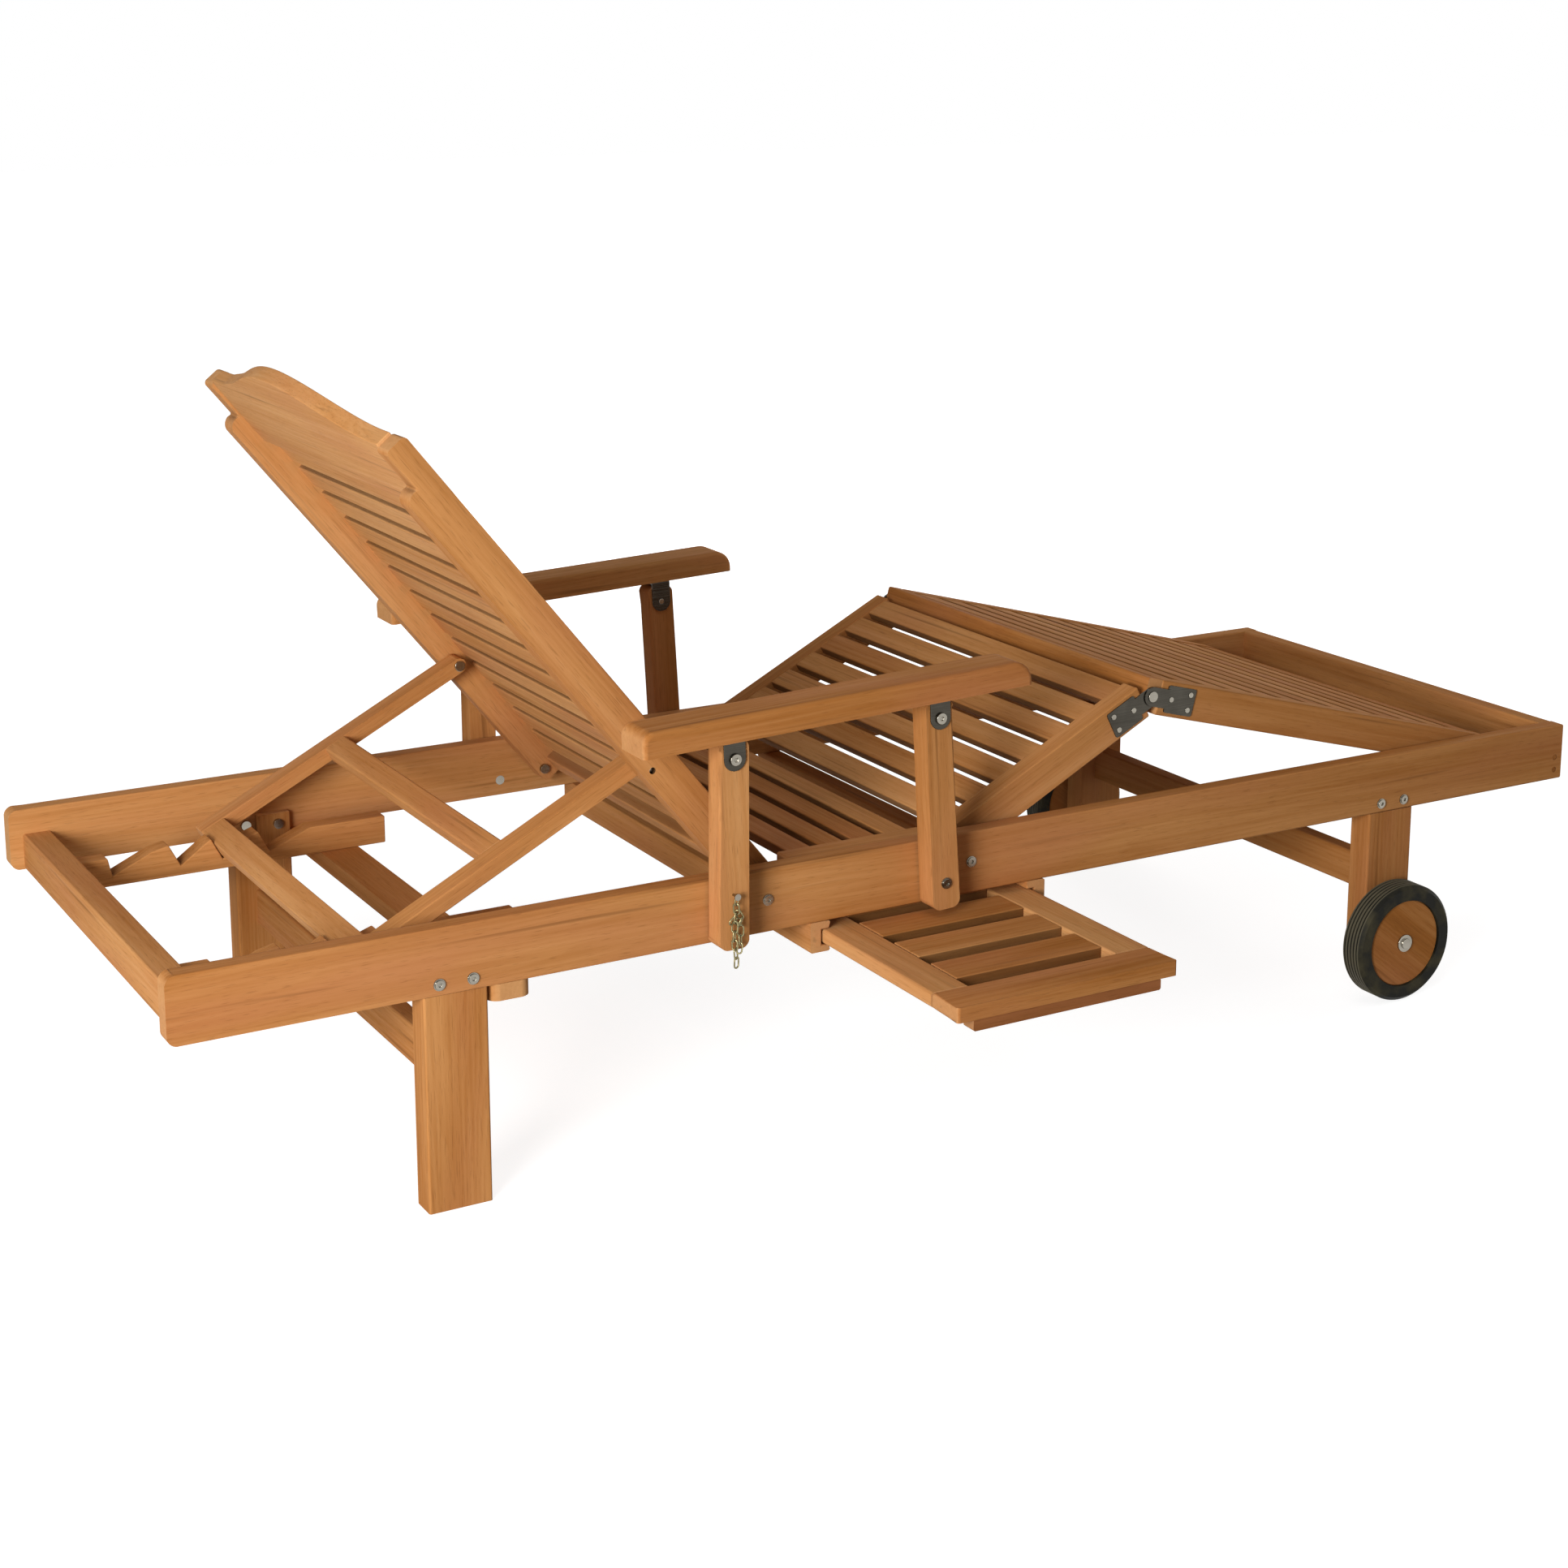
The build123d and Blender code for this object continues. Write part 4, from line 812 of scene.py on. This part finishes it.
@dataclass
class Tray(SubAssembly):
    """Sliding side tray."""

    title: str = "tray"
    slat_pitch: float = 79.0 * MM
    board_back: float = -465.0 * MM
    back_gap: float = 12 * MM
    bar_boards: Boards = Boards(0.15, -0.21)

    def coats(self) -> list[Coat]:
        """List the pieces with their finish and edge.

        Returns:
            One coat for each group of pieces.
        """
        slat_boards = Boards(self.slat_pitch, self.board_back + self.back_gap)
        bars = OiledTeak("oiled_teak_tray_bars", Grain.ACROSS, 31.6, deepen=-0.08, boards=self.bar_boards)
        slats = OiledTeak("oiled_teak_tray_slats", Grain.ALONG, 32.2, edge_shade=0.62, boards=slat_boards)
        front = OiledTeak("oiled_teak_tray_front", Grain.ALONG, 34.8, deepen=-0.04)
        # Painted shade: the grip sits back under the front board, and its deeper tone paints the shade there.
        grip = OiledTeak("oiled_teak_tray_grip_painted_shade", Grain.ALONG, 33.4, deepen=0.48)
        return [
            Coat(bars, Ease.SLAT, ("tray_bars",)),
            Coat(slats, Ease.SLAT, ("tray_slats",)),
            Coat(front, Ease.POST, ("tray_front_board",)),
            Coat(grip, Ease.POST, ("tray_grip",)),
        ]


@dataclass
class Wheels(SubAssembly):
    """Wooden discs in ribbed rubber tyres."""

    title: str = "wheels"
    sides: Boards = Boards(SIDE, MIDDLE_Y)
    disc: Pose = Pose(38.0)

    def coats(self) -> list[Coat]:
        """List the pieces with their finish and edge.

        Returns:
            One coat for each group of pieces.
        """
        discs = OiledTeak("oiled_teak_wheel_discs", Grain.ALONG, 41.1, deepen=0.08,
                          boards=self.sides, pose=self.disc)
        return [
            Coat(discs, Ease.STEEL, ("wheel_disc_near", "wheel_disc_far")),
            Coat(RUBBER, Ease.RUBBER, ("tyre_near", "tyre_far")),
        ]


@dataclass
class Arms(SubAssembly):
    """Fold-down arms: posts, armrests, forked brackets and bolts."""

    title: str = "arms"
    rest: Pose = Pose(-2.27)
    post: Pose = Pose(-3.32)
    rest_boards: Boards = Boards(SIDE, MIDDLE_Y)
    post_boards: Boards = Boards(0.2, -0.26, SIDE, MIDDLE_Y)

    def coats(self) -> list[Coat]:
        """List the pieces with their finish and edge.

        Returns:
            One coat for each group of pieces.
        """
        posts = OiledTeak("oiled_teak_posts", Grain.UPRIGHT, 51.9, boards=self.post_boards, pose=self.post)
        rests = OiledTeak("oiled_teak_armrests", Grain.ALONG, 52.3, deepen=0.11,
                          boards=self.rest_boards, pose=self.rest)
        sides = ("near", "far")
        post_names = tuple(f"{place}_post_{side}" for place in ("front", "rear") for side in sides)
        return [
            Coat(posts, Ease.POST, post_names),
            Coat(rests, Ease.BOARD, tuple(f"armrest_{side}" for side in sides)),
            Coat(ROLLED_STEEL, Ease.STEEL, tuple(f"arm_brackets_{side}" for side in sides)),
            Coat(STAINLESS, Ease.STEEL, tuple(f"arm_bolts_{side}" for side in sides) + ("chain_screw",)),
        ]


@dataclass
class LockChain:
    """Small chain of bent round-wire links that hangs from a screw on the near rear post.

    Each row of hang is a link: its drop and its shift in millimetres, then its turn about Z and its tilt
    about Y in degrees.
    """

    wire: float = 2.0 * MM
    length: float = 15.0 * MM
    width: float = 9.0 * MM
    bend_steps: int = 28
    wire_steps: int = 12
    middle_gap: float = 0.001 * MM
    hang: tuple[tuple[float, float, float, float], ...] = (
        (0.0, 0.0, 30.0, 4.0), (10.8, -0.4, -52.0, -4.0), (21.6, -1.5, 38.0, 8.0), (32.4, -2.6, -48.0, 4.0),
        (43.2, -3.2, 40.0, 3.0), (54.0, -2.6, -55.0, -4.0), (64.8, -1.4, 34.0, -6.0), (75.6, -0.6, 20.0, 2.0),
        (18.0, 3.0, -40.0, -32.0), (27.5, 4.8, 45.0, 24.0), (38.0, 5.0, -46.0, 4.0), (48.6, 4.4, 42.0, -5.0),
        (58.5, 3.2, -50.0, 10.0), (23.5, -4.2, 20.0, 48.0), (28.5, 0.8, -70.0, -55.0),
    )

    def link(self) -> bpy.types.Object:
        """Model one link at the origin, standing upright: a ring whose halves are drawn apart.

        Returns:
            The link's object.
        """
        bpy.ops.object.select_all(action="DESELECT")
        bpy.ops.mesh.primitive_torus_add(
            major_radius=(self.width - self.wire) / 2, minor_radius=self.wire / 2,
            major_segments=self.bend_steps, minor_segments=self.wire_steps, rotation=(radians(90), 0, 0),
        )
        link = bpy.context.object
        bpy.ops.object.transform_apply(location=True, rotation=True, scale=True)
        bpy.ops.object.mode_set(mode="EDIT")
        bpy.ops.mesh.select_mode(type="VERT")
        for side in (1, -1):
            bpy.ops.mesh.select_all(action="DESELECT")
            bpy.ops.object.mode_set(mode="OBJECT")
            for vertex in link.data.vertices:
                vertex.select = side * vertex.co.z > self.middle_gap
            bpy.ops.object.mode_set(mode="EDIT")
            bpy.ops.transform.translate(value=(0, 0, side * (self.length - self.width) / 2))
        bpy.ops.object.mode_set(mode="OBJECT")
        return link

    def build(self) -> None:
        """Hang the links one in the other and put them in the CAD chain's place."""
        low, high = (Vector(corner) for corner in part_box("lock_chain"))
        middle = (low + high) / 2
        top = high.z - self.length / 2
        model = self.link()
        links = []
        for drop, aside, turn, tilt in self.hang:
            copy = model.copy()
            copy.data = model.data.copy()
            bpy.context.collection.objects.link(copy)
            place = Matrix.Translation((middle.x + aside * MM, middle.y, top - drop * MM))
            lean = Matrix.Rotation(radians(tilt), 4, "Y")
            copy.data.transform(place @ lean @ Matrix.Rotation(radians(turn), 4, "Z"))
            links.append(copy)
        bpy.data.objects.remove(model, do_unlink=True)
        bpy.ops.object.select_all(action="DESELECT")
        for copy in links:
            copy.select_set(True)
        bpy.context.view_layer.objects.active = links[0]
        bpy.ops.object.join()
        chain = bpy.context.object
        chain.name = "wire_chain"
        bpy.ops.object.shade_smooth()
        chain.data.materials.clear()
        chain.data.materials.append(YELLOW_ZINC.make())
        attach(chain, "chain")
        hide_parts("lock_chain")
        log.info("lock chain: %d links", len(self.hang))


@dataclass(frozen=True)
class Lamp:
    """Round soft lamp: place, size in metres, power in watts, and whether it shows in reflections."""

    name: str
    place: Triple
    size: float
    power: float
    mirrored: bool


@dataclass
class Studio:
    """Pale floor, soft lamps and the photograph's camera.

    The lamps behind the lounger don't show in reflections, so that they leave no glare on the slats.
    """

    camera_place: Triple = (-1.7073, -2.7667, 1.3067)
    camera_turn: float = -29.6555
    camera_dip: float = 12.1158
    sensor: float = 36.0
    lens: float = 59.97
    shift: Span = (0.0009, -0.1326)
    aim: Triple = (0, MIDDLE_Y, 0.3)
    lamps: tuple[Lamp, ...] = (
        Lamp("key_lamp", (-2.95, -2.12, 1.1), 1.4, 132.0, True),
        Lamp("top_lamp", (-0.9, -1.2, 4.0), 2.6, 24.0, True),
        Lamp("back_lamp", (1.5, 3.6, 0.9), 2.0, 50.0, False),
        Lamp("foot_lamp", (3.8, 0.2, 0.9), 2.0, 40.0, False),
    )
    floor_size: float = 40.0
    floor_drop: float = 0.5 * MM
    paper: str = "#B4B4B2"
    shown_paper: str = "#B0B0B0"
    white: str = "#FFFFFF"
    glow_span: Span = (0.6, 3.5)
    glow: Span = (0.82, 1.0)
    room_light: float = 0.16

    def camera(self) -> None:
        """Place the camera at the photograph's viewpoint."""
        lens = bpy.data.cameras.new("camera")
        lens.sensor_width = self.sensor
        lens.lens = self.lens
        lens.shift_x, lens.shift_y = self.shift
        camera = bpy.data.objects.new("camera", lens)
        camera.location = self.camera_place
        camera.rotation_euler = (radians(90 - self.camera_dip), 0, radians(self.camera_turn))
        bpy.context.collection.objects.link(camera)
        bpy.context.scene.camera = camera

    def lights(self) -> None:
        """Hang the soft lamps, all turned to the lounger's middle."""
        for lamp in self.lamps:
            light = bpy.data.lights.new(lamp.name, "AREA")
            light.shape = "DISK"
            light.size = lamp.size
            light.energy = lamp.power
            holder = bpy.data.objects.new(lamp.name, light)
            holder.location = lamp.place
            holder.visible_glossy = lamp.mirrored
            toward = Vector(self.aim) - Vector(lamp.place)
            holder.rotation_euler = toward.to_track_quat("-Z", "Y").to_euler()
            bpy.context.collection.objects.link(holder)

    def seen_rays(self, tree: bpy.types.NodeTree) -> bpy.types.Node:
        """Add a node that is one for rays that show a surface in the image or in a reflection.

        Args:
            tree: Node tree of the floor or the world.

        Returns:
            The node.
        """
        rays = add_node(tree, "ShaderNodeLightPath").outputs
        shiny = add_node(tree, "ShaderNodeMath", (rays["Is Glossy Ray"], rays["Is Transmission Ray"]),
                         operation="MAXIMUM")
        return add_node(tree, "ShaderNodeMath", (rays["Is Camera Ray"], shiny), operation="MAXIMUM")

    def floor(self) -> None:
        """Make the pale floor, which keeps a faint shadow and fades to white away from the lounger."""
        bpy.ops.object.select_all(action="DESELECT")
        bpy.ops.mesh.primitive_plane_add(size=self.floor_size, location=(0, 0, -self.floor_drop))
        floor = bpy.context.object
        floor.name = "floor"
        material, tree = blank_material("white_paper_sweep")
        paper = add_node(tree, "ShaderNodeBsdfDiffuse", {"Color": linear(self.paper)})
        faint = add_node(tree, "ShaderNodeBsdfDiffuse", {"Color": linear(self.shown_paper)})
        place = add_node(tree, "ShaderNodeTexCoord").outputs["Object"]
        away = add_node(tree, "ShaderNodeVectorMath", (place,), operation="LENGTH").outputs["Value"]
        level = add_node(tree, "ShaderNodeMapRange", (away, *self.glow_span, *self.glow))
        glow = add_node(tree, "ShaderNodeEmission", {"Color": linear(self.white), "Strength": level})
        shown = add_node(tree, "ShaderNodeAddShader", (faint, glow))
        surface = add_node(tree, "ShaderNodeMixShader", (self.seen_rays(tree), paper, shown))
        add_node(tree, "ShaderNodeOutputMaterial", (surface,))
        floor.data.materials.append(material)

    def room(self) -> None:
        """Make the even light of the room, and the white that the image shows behind the part."""
        world = bpy.data.worlds.new("even_room_light")
        world.use_nodes = True
        tree = world.node_tree
        tree.nodes.clear()
        room, shown = [
            add_node(tree, "ShaderNodeBackground", {"Color": linear(self.white), "Strength": strength})
            for strength in (self.room_light, 1.0)
        ]
        surface = add_node(tree, "ShaderNodeMixShader", (self.seen_rays(tree), room, shown))
        add_node(tree, "ShaderNodeOutputWorld", (surface,))
        bpy.context.scene.world = world

    def build(self) -> None:
        """Set up camera, lamps, floor and room."""
        self.camera()
        self.lights()
        self.floor()
        self.room()
        bpy.context.scene.view_settings.view_transform = "Standard"
        log.info("studio: %d lamps", len(self.lamps))


def main() -> None:
    """Dress every sub-assembly, build the chain and set up the studio."""
    logging.basicConfig(level=logging.INFO, format="%(name)s %(message)s")
    for part in (BaseFrame(), Backrest(), KneeSections(), Tray(), Wheels(), Arms()):
        part.dress()
    LockChain().build()
    Studio().build()


if __name__ == "__main__":
    main()
